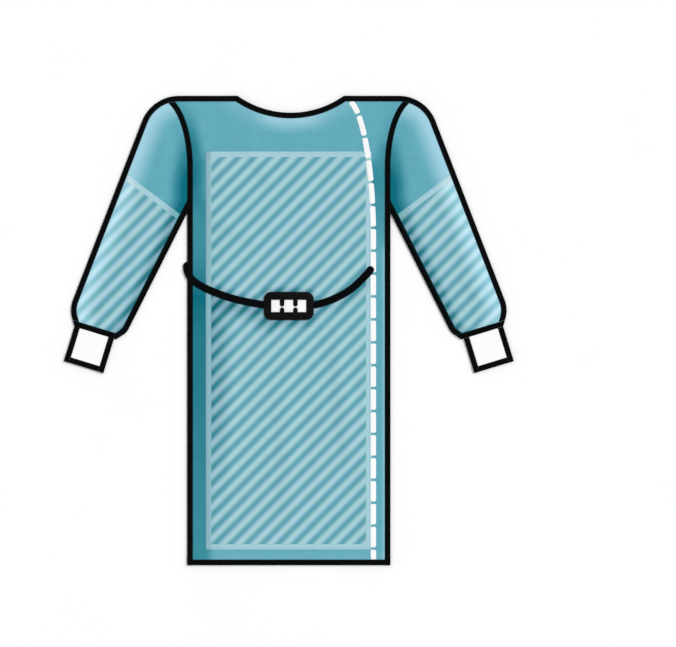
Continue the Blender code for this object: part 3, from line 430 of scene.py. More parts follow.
def cuff_point(across, down):
    """A point of the right cuff, from its seam's middle."""
    x = CUFF_TOP[0] + across * math.cos(CUFF_TILT) + down * math.sin(CUFF_TILT)
    y = CUFF_TOP[1] + across * math.sin(CUFF_TILT) - down * math.cos(CUFF_TILT)
    return np.array((x, y))


def sleeve_outline():
    """The right sleeve's outer and inner outlines, both ending at the cuff seam."""
    start = (SHOULDER_END, SHOULDER_Y)
    outer_end, inner_end = cuff_point(CUFF_SEAM_OUTER, 0), cuff_point(CUFF_SEAM_INNER, 0)
    outer = rounded_path(
        (start, SLEEVE_HEAD, SLEEVE_OUTER, outer_end), (SLEEVE_HEAD_RADIUS, SLEEVE_OUTER_RADIUS)
    )
    inner = rounded_path((UNDERARM, SLEEVE_INNER, inner_end), (SLEEVE_INNER_RADIUS,))
    return outer, inner


def smooth_path(points):
    """A smooth curve through the points."""
    points = np.asarray(points, float)
    padded = np.vstack([2 * points[0] - points[1], points, 2 * points[-1] - points[-2]])
    curve = []
    for a, b, c, d in zip(padded, padded[1:], padded[2:], padded[3:]):
        for t in np.arange(CURVE_STEPS) / CURVE_STEPS:
            bend = (2 * a - 5 * b + 4 * c - d) * t ** 2 + (3 * b - a - 3 * c + d) * t ** 3
            curve.append(b + ((c - a) * t + bend) / 2)
    return np.array([*curve, points[-1]])


def between_edges(bottom, top, left, right, rise):
    """A grid of points between four edges; rise holds each row's share of the way up.

    The side edges' curves fade out within EDGE_REACH of the width.
    """
    travelled = lengths(bottom)
    u = (travelled / travelled[-1])[None, :, None]
    v = np.asarray(rise)[:, None, None]
    straight = (1 - v) * bottom[None] + v * top[None]
    left_bow = left[:, None] - straight[:, :1]
    right_bow = right[:, None] - straight[:, -1:]
    left_share = np.clip(1 - u / EDGE_REACH, 0, 1)
    right_share = np.clip(1 - (1 - u) / EDGE_REACH, 0, 1)
    return straight + left_share * left_bow + right_share * right_bow


# ---- relief -------------------------------------------------------------------------------------
def fold_height(points, folds):
    """The height of the soft folds at each point: rounded across, and fading at both ends."""
    total = np.zeros(len(points))
    for x0, y0, x1, y1, half_width, height in folds:
        start, run = np.array((x0, y0)), np.array((x1 - x0, y1 - y0))
        share = np.clip(((points - start) @ run) / (run @ run), 0, 1)
        off = np.linalg.norm(points - start - share[:, None] * run, axis=1) / half_width
        total += height * np.clip(1 - off ** 2, 0, None) ** 2 * (1 - (2 * share - 1) ** 4)
    return total


def scoop_line(pitch):
    """The neck scoop's line from corner to corner."""
    xs = filled((neck_corner(-1, 0.0)[0], neck_corner(1, 0.0)[0]), pitch)
    return np.stack([xs, scoop_y(xs)], axis=1)


def neck_rise(points):
    """How far the front is raised along the neck, over the binding's lower leg."""
    away = distances(scoop_line(2 * CLOTH_PITCH), points)
    return LAYER * (1 - smooth((away - INSET) / SETTLE))


def hem_rise(y):
    """How far the front is raised along the hem, over the binding's lower leg."""
    return LAYER * (1 - smooth((y - HEM_Y - INSET) / (PATCH_BOTTOM - HEM_Y - INSET)))


def front_heights(plan, border):
    """The front's underside: level along its bound edges, soft between."""
    points = plan.reshape(-1, 2)
    free = smooth((distances(border, points) - (INSET - EDGE)) / SETTLE)
    soft = LIFT + fold_height(points, FRONT_FOLDS) + fold_height(points, FRONT_CREASES)
    heights = 2 * LAYER + free * np.maximum(soft, 0) + neck_rise(points) + hem_rise(points[:, 1])
    return heights.reshape(plan.shape[:2])


def shoulder_points(side, count, corner, arm_end):
    """Points along one shoulder's cloth edge, from the neck corner to the top of the armhole."""
    outer, _ = sleeve_outline()
    line = offset(outer, EDGE)
    line = line[line[:, 0] < arm_end[0] - EDGE]
    line = np.vstack([(corner[0] * side, SHOULDER_Y - EDGE), line, arm_end])
    return mirrored(walk(line, np.linspace(0, lengths(line)[-1], count)), side)


def border_of(plan):
    """A plan grid's closed outline."""
    return np.vstack([plan[0], plan[1:, -1], plan[-1, -2::-1], plan[-2:0:-1, 0], plan[:1, 0]])


def front_plan(pitch):
    """The front's grid from hem to shoulder and left to right, and where its patch lies in it."""
    left, right = neck_corner(-1, EDGE), neck_corner(1, EDGE)
    patch_columns = (PATCH_LEFT, PATCH_LEFT + PATCH_ROUND, PATCH_RIGHT - PATCH_ROUND, PATCH_RIGHT)
    xs = filled(sorted((-SIDE_EDGE, *patch_columns, left[0], right[0], SIDE_EDGE)), pitch)
    patch_rows = (PATCH_BOTTOM, PATCH_BOTTOM + PATCH_ROUND)
    ys = filled((HEM_Y + EDGE, HEM_Y + INSET, *patch_rows, UNDERARM_Y), pitch)
    arm, arm_yoke = armhole(-GAP / 2, pitch)
    arm = np.insert(arm, arm_yoke, arm[arm_yoke] - (0, PATCH_ROUND), axis=0)
    edge = np.vstack([upright(SIDE_EDGE, ys), arm])
    yoke = len(ys) + arm_yoke + 1
    lower = np.stack([np.tile(xs, (yoke + 1, 1)), np.tile(edge[: yoke + 1, 1:], (1, len(xs)))], axis=2)
    lower[:, 0, 0], lower[:, -1, 0] = -edge[: yoke + 1, 0], edge[: yoke + 1, 0]

    first, last = (nearest(xs, corner[0]) for corner in (left, right))
    left_shoulder = shoulder_points(-1, first + 1, left, edge[-1])[::-1]
    right_shoulder = shoulder_points(1, len(xs) - last, right, edge[-1])
    neck = np.stack([xs[first : last + 1], scoop_y(xs[first : last + 1], EDGE)], axis=1)
    top = np.vstack([left_shoulder[:-1], neck, right_shoulder[1:]])
    rise = lengths(edge[yoke:]) / lengths(edge[yoke:])[-1]
    upper = between_edges(lower[-1], top, mirrored(edge[yoke:], -1), edge[yoke:], rise)
    plan = np.vstack([lower, upper[1:]])
    rows = slice(nearest(ys, PATCH_BOTTOM), yoke + 1)
    columns = slice(nearest(xs, PATCH_LEFT), nearest(xs, PATCH_RIGHT) + 1)
    return plan, (first, last), (rows, columns)


def back_plan(side, free_x, free_top, pitch):
    """A back panel's grid and its bound edge, drawn as if its bound side were the right one.

    Rows run from hem to neck, and columns from the free edge, which is at free_x of each height, to
    the bound side. free_top is the height at which the free edge ends, or the neckline's own if that
    is lower.
    """
    ys = filled((BACK_HEM_Y, PATCH_BOTTOM, UNDERARM_Y), pitch)
    arm, arm_yoke = armhole(-GAP / 2, pitch)
    bound = np.vstack([upright(SIDE_EDGE, ys), arm])
    yoke = len(ys) + arm_yoke
    corner = mirrored(neck_corner(side, EDGE), side)

    width = SIDE_EDGE - free_x(BACK_HEM_Y)
    columns = math.ceil(width / pitch)
    neck_columns = columns - round(columns * (SIDE_EDGE - corner[0]) / width)
    shares = np.linspace(0, 1, columns + 1)[None, :, None]
    free = upright(free_x(bound[: yoke + 1, 1]), bound[: yoke + 1, 1])
    lower = free[:, None] + shares * (bound[: yoke + 1] - free)[:, None]

    xs = np.linspace(free_x(free_top), corner[0], neck_columns + 1)
    neck = np.stack([xs, scoop_y(side * xs, BACK_NECK_DROP)], axis=1)
    neck[:, 1] = np.where(xs < 0, np.minimum(neck[:, 1], free_top), neck[:, 1])
    neck[-1] = corner
    shoulder = shoulder_points(1, columns - neck_columns + 1, corner, arm[-1])
    rise = lengths(bound[yoke:]) / lengths(bound[yoke:])[-1]
    ys = lower[-1, 0, 1] + (free_top - lower[-1, 0, 1]) * rise
    free = upright(free_x(ys), ys)
    top = np.vstack([neck, shoulder[1:]])
    upper = between_edges(lower[-1], top, free, bound[yoke:], rise)
    return np.vstack([lower, upper[1:]]), np.vstack([bound, shoulder[::-1]])


def under_free_x(y):
    """The under flap's free edge, a straight line from its hem up to its neckline."""
    share = (np.asarray(y, float) - BACK_HEM_Y) / (scoop_y(UNDER_TOP_X, BACK_NECK_DROP) - BACK_HEM_Y)
    return UNDER_HEM_X + share * (UNDER_TOP_X - UNDER_HEM_X)


# ---- sleeves ------------------------------------------------------------------------------------
def crossing(section, path, distance):
    """How far along a dense section it first comes as far as distance from a path."""
    away = distances(path, section)
    travelled = lengths(section)
    k = max(1, int(np.argmax(away >= distance)))
    share = (distance - away[k - 1]) / (away[k] - away[k - 1])
    return travelled[k - 1] + share * (travelled[k] - travelled[k - 1])


def sleeve_plan(pitch, columns):
    """The right sleeve's grid, and each row's place in the table of sections.

    A row runs along a section from the inner edge to the outer edge.
    """
    outer, inner = sleeve_outline()
    heights = np.linspace(UNDERARM[1], ARMHOLE_TOP, SECTION_SAMPLES)
    seam = upright(seam_x(heights), heights)
    shares = lengths(seam) / lengths(seam)[-1]
    bow = seam - (seam[0] + shares[:, None] * (seam[-1] - seam[0]))
    places = [0.0]
    for k, step in enumerate(np.diff(SLEEVE_SECTIONS[:, 0])):
        places += list(k + np.linspace(0, 1, math.ceil(step / pitch) + 1)[1:])
    rows, row_shares = [], []
    for place in places[1:]:
        outer_distance, inner_distance, kept = (
            np.interp(place, np.arange(len(SLEEVE_SECTIONS)), column) for column in SLEEVE_SECTIONS.T
        )
        start, end = walk(inner, inner_distance), walk(outer, outer_distance)
        section = start + shares[:, None] * (end - start) + kept * bow
        total = lengths(section)[-1]
        near = [crossing(section, inner, d) for d in (EDGE, INSET)]
        far = [total - crossing(section[::-1], outer, d) for d in (INSET, EDGE)]
        between = np.linspace(near[1], far[0], columns - 2 * SLEEVE_MARGIN)
        marks = np.array([near[0], sum(near) / 2, *between, sum(far) / 2, far[1]])
        rows.append(walk(section, marks))
        row_shares.append((marks - marks[0]) / (marks[-1] - marks[0]))
    seam, _ = armhole(GAP / 2, pitch)
    plan = np.array([walk(seam, row_shares[0] * lengths(seam)[-1]), *rows])
    plan[-1] += cuff_point(0, -GAP / 2) - cuff_point(0, 0)
    return plan, np.array(places)


def sleeve_free(plan, places, rise):
    """How free each point of a sleeve's face is of its bound edges and ends: 0 at them, 1 inside."""
    points = plan.reshape(-1, 2)
    outer, inner = sleeve_outline()
    edge = np.minimum(distances(outer, points), distances(inner, points)) - INSET
    level = plan[nearest(places, LEVEL_SECTION)]
    ends = np.minimum(distances(plan[0], points), distances(level, points)) - INSET
    free = (smooth(edge / rise) * smooth(ends / rise)).reshape(plan.shape[:2])
    return np.where(places[:, None] < LEVEL_SECTION, free, 0)


def sleeve_heights(plan, places, label):
    """A sleeve's upper face: its underside, level at the bound edges and softly crowned between."""
    points = plan.reshape(-1, 2)
    folds, creases = (fold_height(points, table[label]) for table in (SLEEVE_FOLDS, SLEEVE_CREASES))
    soft = np.maximum(SLEEVE_CROWN + folds + creases, 0).reshape(plan.shape[:2])
    return 2 * LAYER + sleeve_free(plan, places, CROWN_RISE) * soft


# ---- shader maths -------------------------------------------------------------------------------
class Shade:
    """A material's node tree. Its methods return Value, a socket that takes part in expressions."""

    def __init__(self, name):
        self.material = bpy.data.materials.new(name)
        self.material.use_nodes = True
        self.tree = self.material.node_tree
        self.shader = self.tree.nodes["Principled BSDF"]

    def node(self, kind, settings=(), values=(), output=0):
        """A node of that type: its settings first, then the values or links of its sockets."""
        made_node = self.tree.nodes.new(kind)
        for key, setting in dict(settings).items():
            setattr(made_node, key, setting)
        for key, value in dict(values).items():
            if isinstance(value, Value):
                self.tree.links.new(value.socket, made_node.inputs[key])
            else:
                made_node.inputs[key].default_value = value
        return Value(self, made_node.outputs[output])

    def maths(self, operation, *values, clamp=False):
        settings = {"operation": operation, "use_clamp": clamp}
        return self.node("ShaderNodeMath", settings, enumerate(values))

    def painted_shading_ramp(self, painted_shading_and_tone, stops):
        """The colour for a painted shading value between -1 and 1, through (value, 8-bit colour) stops."""
        value = self.node("ShaderNodeValToRGB", (), {"Fac": painted_shading_and_tone * 0.5 + 0.5})
        elements = value.socket.node.color_ramp.elements
        while len(elements) < len(stops):
            elements.new(0.5)
        for element, (place, colour) in zip(elements, stops):
            element.position = (place + 1) / 2
            element.color = linear(*colour)
        return value

    def mix(self, factor, a, b):
        """A blend of two colours."""
        settings = {"data_type": "RGBA", "clamp_factor": True}
        return self.node("ShaderNodeMix", settings, {0: factor, 6: a, 7: b}, 2)

    def colour_between(self, factor, dark, light):
        """The surface's colour, between two 8-bit ones."""
        self.link("Base Color", self.mix(factor, linear(*dark), linear(*light)))

    def tint(self, colour, factor):
        """A colour made lighter or darker by a factor about 1."""
        grey = self.node("ShaderNodeCombineXYZ", (), {0: factor, 1: factor, 2: factor})
        return self.node("ShaderNodeVectorMath", {"operation": "MULTIPLY"}, {0: colour, 1: grey})

    def place(self):
        """The piece's own coordinates, in metres."""
        return self.node("ShaderNodeTexCoord", (), (), 3)

    def parts(self, vector):
        """A vector's three numbers."""
        split = self.node("ShaderNodeSeparateXYZ", (), {0: vector}).socket.node
        return [Value(self, socket) for socket in split.outputs]

    def cut(self):
        """The piece's UV map: metres along it and across it."""
        return self.parts(self.node("ShaderNodeUVMap", {"uv_map": "cut"}))[:2]

    def field(self, name):
        """A number that the piece's mesh holds at each point."""
        return self.node("ShaderNodeAttribute", {"attribute_name": name}, (), 2)

    def noise(self, vector, scale, detail=2.0, roughness=0.5):
        values = {"Vector": vector, "Scale": scale, "Detail": detail, "Roughness": roughness}
        return self.node("ShaderNodeTexNoise", (), values)

    def stretched(self, vector, scale, turn=0.0):
        """The coordinates turned about Z, then scaled along each axis."""
        values = {"Vector": vector, "Rotation": (0.0, 0.0, turn), "Scale": scale}
        return self.node("ShaderNodeMapping", (), values)

    def relief(self, height, strength=1.0):
        """Height in millimetres, as the surface's bump."""
        values = {"Height": height, "Distance": 0.001, "Strength": strength}
        self.link("Normal", self.node("ShaderNodeBump", (), values))

    def link(self, socket, value):
        if isinstance(value, Value):
            self.tree.links.new(value.socket, self.shader.inputs[socket])
        else:
            self.shader.inputs[socket].default_value = value

    def sheen(self, weight, roughness=0.5, tint=(1.0, 1.0, 1.0), specular=0.5):
        """How much the fibres catch light at a slant, and how strongly the surface shines."""
        self.link("Specular IOR Level", specular)
        self.link("Sheen Weight", weight)
        self.link("Sheen Roughness", roughness)
        self.link("Sheen Tint", (*tint, 1.0))


class Value:
    """A socket whose value takes part in Python expressions."""

    def __init__(self, shade, socket):
        self.shade = shade
        self.socket = socket

    def __add__(self, other):
        return self.shade.maths("ADD", self, other)

    def __sub__(self, other):
        return self.shade.maths("SUBTRACT", self, other)

    def __rsub__(self, other):
        return self.shade.maths("SUBTRACT", other, self)

    def __mul__(self, other):
        return self.shade.maths("MULTIPLY", self, other)

    def __truediv__(self, other):
        return self.shade.maths("DIVIDE", self, other)

    def __abs__(self):
        return self.shade.maths("ABSOLUTE", self)

    def clamp(self):
        return self.shade.maths("ADD", self, 0.0, clamp=True)

    def sine(self):
        return self.shade.maths("SINE", self)

    def cosine(self):
        return self.shade.maths("COSINE", self)

    def fraction(self):
        return self.shade.maths("FRACT", self)

    __radd__ = __add__
    __rmul__ = __mul__


def linear(*colour):
    """An 8-bit sRGB colour in the shader's own linear values, opaque."""
    shares = (value / 255 for value in colour)
    return (*(c / 12.92 if c <= 0.04045 else ((c + 0.055) / 1.055) ** 2.4 for c in shares), 1.0)


# ---- finishes -----------------------------------------------------------------------------------
# The nonwoven's colour ramps for painted shading: from the darkest painted shade (-1) over the cloth's own
# colour (0) to the brightest painted highlight (1).
CLOTH_SHADING_RAMP = (
    (-1.0, (0, 107, 123)), (-0.5, (54, 138, 155)), (0.0, (98, 170, 185)), (1.0, (165, 212, 229)),
)
GROUND_SHADING_RAMP = (
    (-1.0, (0, 100, 112)), (-0.5, (46, 130, 145)), (0.0, (94, 162, 177)), (1.0, (150, 205, 221)),
)
STRIPE_SHADING_RAMP = (
    (-1.0, (122, 165, 182)), (-0.5, (144, 186, 199)), (0.0, (165, 206, 214)), (1.0, (198, 236, 248)),
)
BAND_SHADING_RAMP = (
    (-1.0, (112, 176, 184)), (-0.5, (137, 181, 193)), (0.0, (163, 204, 215)), (1.0, (198, 222, 230)),
)
STRIPE_PITCH = 0.04203  # along X or Y; the stripes rise to the right at 45 degrees
STRIPE_SHARE = 0.25     # half a stripe's width, as a share of the pitch
STRIPE_SOFTNESS = 0.30  # the share of the pitch over which a stripe fades out
STRIPE_WANDER = 0.03    # and the share by which its edge wavers
BAND_SOFTNESS = 0.07    # the share of the light band's width over which it fades out
STRIPE_STARTS = {"front": 0.0141, "left": 0.0414, "right": 0.0400}
BOND_PITCH = 0.0028     # the nonwoven's point bonds
TWILL_PITCH = 0.0011
KNIT_WALE, KNIT_LOOP = 0.00125, 0.0014
FULL_TURN = 2 * math.pi


def nonwoven(shade):
    """Spunbond cloth: fibres, cloudy thickness and small oval bonds.

    Returns how uneven its dye is, a factor for its lightness, and its relief in millimetres.
    """
    place = shade.place()
    cloud = shade.noise(place, 38.0, 3.0, 0.55) - 0.5
    fleck = shade.noise(place, 420.0, 2.0, 0.6) - 0.5
    fibre = shade.noise(shade.stretched(place, (260.0, 2600.0, 260.0), 0.5), 1.0, 2.0) - 0.5
    cross = shade.noise(shade.stretched(place, (2400.0, 240.0, 240.0), 0.3), 1.0, 2.0) - 0.5
    x, y, _ = shade.parts(place)
    turn = FULL_TURN / BOND_PITCH
    bonds = ((x * turn).cosine() * (y * (turn * 0.62)).cosine() * 2.4 - 1.2).clamp()
    web = fibre + cross
    uneven = cloud * 0.16 + fleck * 0.05
    lightness = fleck * 0.05 + web * 0.07 + 1.0 - bonds * 0.045
    return uneven, lightness, web * 0.035 - bonds * 0.09


def gown_cloth():
    """The gown's nonwoven, its colour darkened and lightened by the piece's painted shading."""
    shade = Shade("gown nonwoven")
    uneven, lightness, relief = nonwoven(shade)
    # colour from the mesh's painted shade and highlights, plus the cloth's random uneven tone
    colour = shade.painted_shading_ramp(shade.field("painted_shading_and_tone") + uneven, CLOTH_SHADING_RAMP)
    shade.link("Base Color", shade.tint(colour, lightness))
    shade.link("Roughness", lightness * 0.5 + 0.25)
    shade.sheen(0.03, 0.6, (0.3, 0.9, 1.0), 0.08)
    shade.relief(relief, 0.8)
    return shade.material


def patch_cloth():
    """The same cloth with a lighter coat in slanting stripes, and in a band along its sewn edge."""
    shade = Shade("striped reinforcement")
    uneven, lightness, relief = nonwoven(shade)
    x, y, _ = shade.parts(shade.place())
    wander = (shade.noise(shade.place(), 90.0) - 0.5) * STRIPE_WANDER
    phase = ((x - y - shade.field("start")) / STRIPE_PITCH + 0.5 + wander).fraction() - 0.5
    stripe = ((STRIPE_SHARE - abs(phase)) / STRIPE_SOFTNESS + 0.5).clamp()
    band = ((1.0 - shade.field("hem")) / BAND_SOFTNESS + 0.5).clamp()
    # painted shade and highlights from the mesh, plus the cloth's random uneven tone; the stripes and band
    # are the patch's own print
    painted_shading_and_tone = shade.field("painted_shading_and_tone") + uneven
    colour = shade.mix(stripe, shade.painted_shading_ramp(painted_shading_and_tone, GROUND_SHADING_RAMP), shade.painted_shading_ramp(painted_shading_and_tone, STRIPE_SHADING_RAMP))
    colour = shade.mix(band, colour, shade.painted_shading_ramp(painted_shading_and_tone, BAND_SHADING_RAMP))
    light = shade.maths("MAXIMUM", stripe, band)
    shade.link("Base Color", shade.tint(colour, lightness))
    shade.link("Roughness", lightness * 0.5 + 0.22 - light * 0.08)
    shade.sheen(0.03, 0.6, (0.5, 0.95, 1.0), 0.12)
    shade.relief(relief * (1.0 - light * 0.45) + light * 0.05, 0.8)
    return shade.material


def twill_tape():
    """Black binding and tape: a fine slanting twill with a dull shine, worn paler on its crests."""
    shade = Shade("black twill tape")
    along, across = shade.cut()
    turn = FULL_TURN / TWILL_PITCH
    rib = ((along + across) * turn).sine() * 0.5 + 0.5
    weft = ((along - across * 0.35) * (turn * 2.3)).sine() * 0.5 + 0.5
    lint = shade.noise(shade.place(), 900.0, 2.0)
    cloud = shade.noise(shade.place(), 30.0, 2.0)
    worn = (rib * 0.5 + lint * 0.5 + cloud * 0.4 - 0.58).clamp()
    shade.colour_between(worn, (1, 2, 3), (17, 20, 24))
    shade.link("Roughness", 0.62 + lint * 0.2)
    shade.sheen(0.002, 0.5, specular=0.04)
    shade.relief(rib * 0.07 + weft * 0.03 + lint * 0.03)
    return shade.material


def thread(name, dark, light, roughness):
    """Sewing thread: a twisted ply with a soft shine."""
    shade = Shade(name)
    place = shade.place()
    ply = shade.noise(shade.stretched(place, (900.0, 2400.0, 900.0), 0.6), 1.0, 2.0)
    shade.colour_between(ply, dark, light)
    shade.link("Roughness", roughness + ply * 0.15)
    shade.sheen(0.05, 0.4, specular=0.3)
    shade.relief(ply * 0.06)
    return shade.material


def white_knit():
    """Rib knit: columns of small slanting loops, with painted shade in the hollows between them and a faint
    random clouding.
    """
    shade = Shade("white rib knit")
    along, across = shade.cut()
    wale = abs((across / KNIT_WALE).fraction() - 0.5) * 2.0
    loop = ((along / KNIT_LOOP + wale * 0.42) * FULL_TURN).sine() * 0.5 + 0.5
    lint = shade.noise(shade.place(), 1100.0, 2.0)
    cloud = shade.noise(shade.place(), 45.0, 2.0)
    # painted shade: lighter on the loops' crests, darker in the hollows between loops and wales; cloud and
    # lint are random tone
    light = (loop * (1.0 - wale * 0.5) * 0.6 + cloud * 0.35 + lint * 0.2).clamp()
    shade.colour_between(light, (250, 251, 251), (255, 255, 255))
    shade.link("Roughness", 0.85 + lint * 0.1)
    shade.sheen(0.1, 0.6, specular=0.3)
    shade.relief(loop * (1.0 - wale * 0.6) * 0.16 + lint * 0.03)
    return shade.material


def white_card():
    """Coated card: faint fibres under a thin gloss, with a few scuffs."""
    shade = Shade("white coated card")
    place = shade.place()
    fibre = shade.noise(shade.stretched(place, (300.0, 1500.0, 300.0), 0.2), 1.0, 3.0)
    cloud = shade.noise(place, 60.0)
    shade.colour_between(fibre * 0.6 + cloud * 0.4, (240, 241, 241), (254, 254, 252))
    shade.link("Roughness", 0.42 + cloud * 0.2)
    shade.relief(fibre * 0.02)
    return shade.material


def black_plastic():
    """Moulded plastic: a fine spark grain, and a paler polish where hands rub."""
    shade = Shade("black moulded plastic")
    place = shade.place()
    grain = shade.noise(place, 1600.0, 2.0)
    rubbed = (shade.noise(place, 70.0, 3.0) * 1.6 - 0.55).clamp()
    shade.colour_between(rubbed, (10, 7, 9), (22, 18, 21))
    shade.link("Roughness", 0.5 - rubbed * 0.14)
    shade.sheen(0.0, 0.5, specular=0.05)
    shade.relief(grain * 0.03)
    return shade.material


def studio_floor():
    """Pale paper, barely clouded."""
    shade = Shade("pale studio floor")
    shade.colour_between(shade.noise(shade.place(), 3.0, 3.0), (252, 252, 252), (255, 255, 255))
    shade.link("Roughness", 0.9)
    return shade.material


MATERIALS = {
    "cloth": gown_cloth(),
    "patch": patch_cloth(),
    "binding": twill_tape(),
    "black thread": thread("black sewing thread", (10, 11, 13), (34, 36, 41), 0.5),
    "blue thread": thread("blue sewing thread", (94, 160, 178), (150, 206, 220), 0.5),
    "white thread": thread("white embroidery thread", (238, 239, 240), (255, 255, 255), 0.45),
    "knit": white_knit(),
    "card": white_card(),
    "plastic": black_plastic(),
}


# ---- meshes -------------------------------------------------------------------------------------
def in_scene(name, data):
    """A new object in the scene, for a mesh, a light or a camera."""
    thing = bpy.data.objects.new(name, data)
    bpy.context.scene.collection.objects.link(thing)
    return thing


def made(name, points, faces, material, uv=None, fields=None):
    """A mesh piece at the origin. uv holds a pair, and each of fields a number, for each point."""
    mesh = bpy.data.meshes.new(name)
    mesh.from_pydata(np.asarray(points, float).tolist(), [], faces)
    mesh.shade_smooth()
    mesh.set_sharp_from_angle(angle=SHARP_ANGLE)
    if uv is not None:
        corners = np.zeros(len(mesh.loops), int)
        mesh.loops.foreach_get("vertex_index", corners)
        mesh.uv_layers.new(name="cut").data.foreach_set("uv", np.asarray(uv)[corners].ravel())
    for field, values in (fields or {}).items():
        mesh.attributes.new(field, "FLOAT", "POINT").data.foreach_set("value", np.asarray(values, float))
    mesh.materials.append(material)
    return in_scene(name, mesh)


def face_outward(piece):
    """Turn every face of a closed piece outward."""
    body = bmesh.new()
    body.from_mesh(piece.data)
    bmesh.ops.recalc_face_normals(body, faces=body.faces)
    body.to_mesh(piece.data)
    body.free()


def turned_over(faces):
    return [tuple(reversed(face)) for face in faces]


def grid_faces(rows, columns, first=0, closed_across=False):
    """Quads of a grid of points, counterclockwise where rows run up and columns to the right."""
    i, j = np.meshgrid(np.arange(rows - 1), np.arange(columns - (not closed_across)), indexing="ij")
    k = (j + 1) % columns
    corners = (i * columns + j, i * columns + k, (i + 1) * columns + k, (i + 1) * columns + j)
    quads = np.stack(corners, axis=-1).reshape(-1, 4) + first
    return [tuple(quad) for quad in quads.tolist()]


def wall_faces(rows, columns, first=0):
    """Faces of a closed wall between two grids of points, the lower grid's points before the upper's."""
    count = rows * columns
    ring = (np.arange(count) + first).reshape(rows, columns)
    ring = np.concatenate([ring[0, :-1], ring[:-1, -1], ring[-1, :0:-1], ring[:0:-1, 0]]).tolist()
    rim = [(a, b, count + b, count + a) for a, b in zip(ring, ring[1:] + ring[:1])]
    under, over = grid_faces(rows, columns, first), grid_faces(rows, columns, first + count)
    return turned_over(under) + over + rim


def travelled_grid(along, across):
    """UV pairs of a grid, from the places of its rows and of its columns."""
    return np.stack(np.meshgrid(along, across, indexing="ij"), axis=-1).reshape(-1, 2)


def shell(name, lower, upper, material, fields=None):
    """A closed thin wall between two grids of points of the same rows and columns."""
    rows, columns = lower.shape[:2]
    across = upper[0, -1, :2] - upper[0, 0, :2]
    up = upper[1, columns // 2, :2] - upper[0, columns // 2, :2]
    faces = wall_faces(rows, columns)
    if across[0] * up[1] - across[1] * up[0] < 0:
        faces = turned_over(faces)
    along, wide = (
        np.append(0, np.cumsum(np.linalg.norm(np.diff(upper, axis=axis), axis=2).mean(axis=1 - axis)))
        for axis in (0, 1)
    )
    points = np.concatenate([lower.reshape(-1, 3), upper.reshape(-1, 3)])
    uv = np.tile(travelled_grid(along, wide), (2, 1))
    doubled = {field: np.tile(np.ravel(values), 2) for field, values in (fields or {}).items()}
    return made(name, points, faces, material, uv, doubled)


def cloth(name, plan, heights, thickness, material, fields=None, rounding=CLOTH_ROUND):
    """A ply of even thickness over a plan grid at the given lower heights, its rim rounded over."""
    lower = np.dstack([plan, heights])
    upper = lower + (0, 0, thickness)
    for rim in (np.s_[0, :], np.s_[-1, :], np.s_[:, 0], np.s_[:, -1]):
        upper[rim + (2,)] = lower[rim + (2,)] + thickness - rounding
    return shell(name, lower, upper, material, fields)


def binding_profile(slot_low, slot_high):
    """A binding's section: distance in from the outline, and height.

    It is a strip folded over the edge, round at its fold and raw edges, and pressed in where it is sewn.
    """
    under, top, tip = slot_low - WALL, slot_high + WALL, BINDING_TIP
    fold = min(BINDING_FOLD, (top - under) / 2.2)
    arc = np.radians(np.linspace(0, 90, 5))
    section = [(fold - fold * math.sin(a), under + fold - fold * math.cos(a)) for a in arc]
    section += [(fold - fold * math.cos(a), top - fold + fold * math.sin(a)) for a in arc]
    puffed = ((0.22, 0.7), (0.38, 1.0), (0.54, 0.8))
    section += [(TRIM * place, top + BINDING_PUFF * lift) for place, lift in puffed]
    seam = TRIM - SEW_IN
    section += [(seam - 0.0014, top), (seam, top - BINDING_PRESSED), (seam + 0.0012, top)]
    section += [(TRIM - tip, top), (TRIM, top - tip), (TRIM, slot_high + tip), (TRIM - tip, slot_high)]
    section += [(WEB, slot_high), (WEB, slot_low), (TRIM - tip, slot_low), (TRIM, slot_low - tip)]
    section += [(TRIM, under + tip), (TRIM - tip, under)]
    return np.array(section)


def triangles_over(*loops):
    """Triangles that fill a flat outline, or the room between an outline and its holes."""
    return [tuple(t) for t in tessellate_polygon([[Vector((x, y, 0)) for x, y in loop] for loop in loops])]


def bind(name, path, inward, slot_low, slot_high):
    """A folded binding along a path.

    inward holds each station's direction over the cloth, slot_low the height of the lower leg's top,
    and slot_high that of the upper leg's underside, which may differ from station to station.
    """
    path, inward = np.asarray(path, float), np.asarray(inward, float)
    slot_high = np.broadcast_to(slot_high, len(path))
    profiles = np.array([binding_profile(slot_low, high) for high in slot_high])
    plan = path[:, None] + profiles[..., :1] * inward[:, None]
    points = np.concatenate([plan, profiles[..., 1:]], axis=2)
    rows, columns = points.shape[:2]
    faces = grid_faces(rows, columns, closed_across=True) + triangles_over(profiles[0])
    last = (rows - 1) * columns
    faces += [tuple(last + k for k in face) for face in turned_over(triangles_over(profiles[-1]))]
    uv = travelled_grid(lengths(path), lengths(profiles[0]))
    piece = made(f"{name}_trim", points.reshape(-1, 3), faces, MATERIALS["binding"], uv)
    face_outward(piece)
    sew_along(np.column_stack([path + (TRIM - SEW_IN) * inward, slot_high + WALL - THREAD_SUNK]))
    laid(piece, "black_binding", (STRIP_WIDTH, lengths(path)[-1]), "folded", name)
    return piece


def surface_of(pieces):
    """One search tree over the pieces."""
    points, faces = [], []
    for piece in pieces:
        mesh = piece.data
        first = len(points)
        points += [v.co.copy() for v in mesh.vertices]
        faces += [[first + k for k in p.vertices] for p in mesh.polygons]
    return BVHTree.FromPolygons(points, faces)


def top_at(tree, point):
    """The height of what is under a point, or nan."""
    hit = tree.ray_cast(Vector((point[0], point[1], RAY_TOP)), Vector((0, 0, -1)))[0]
    return math.nan if hit is None else hit.z


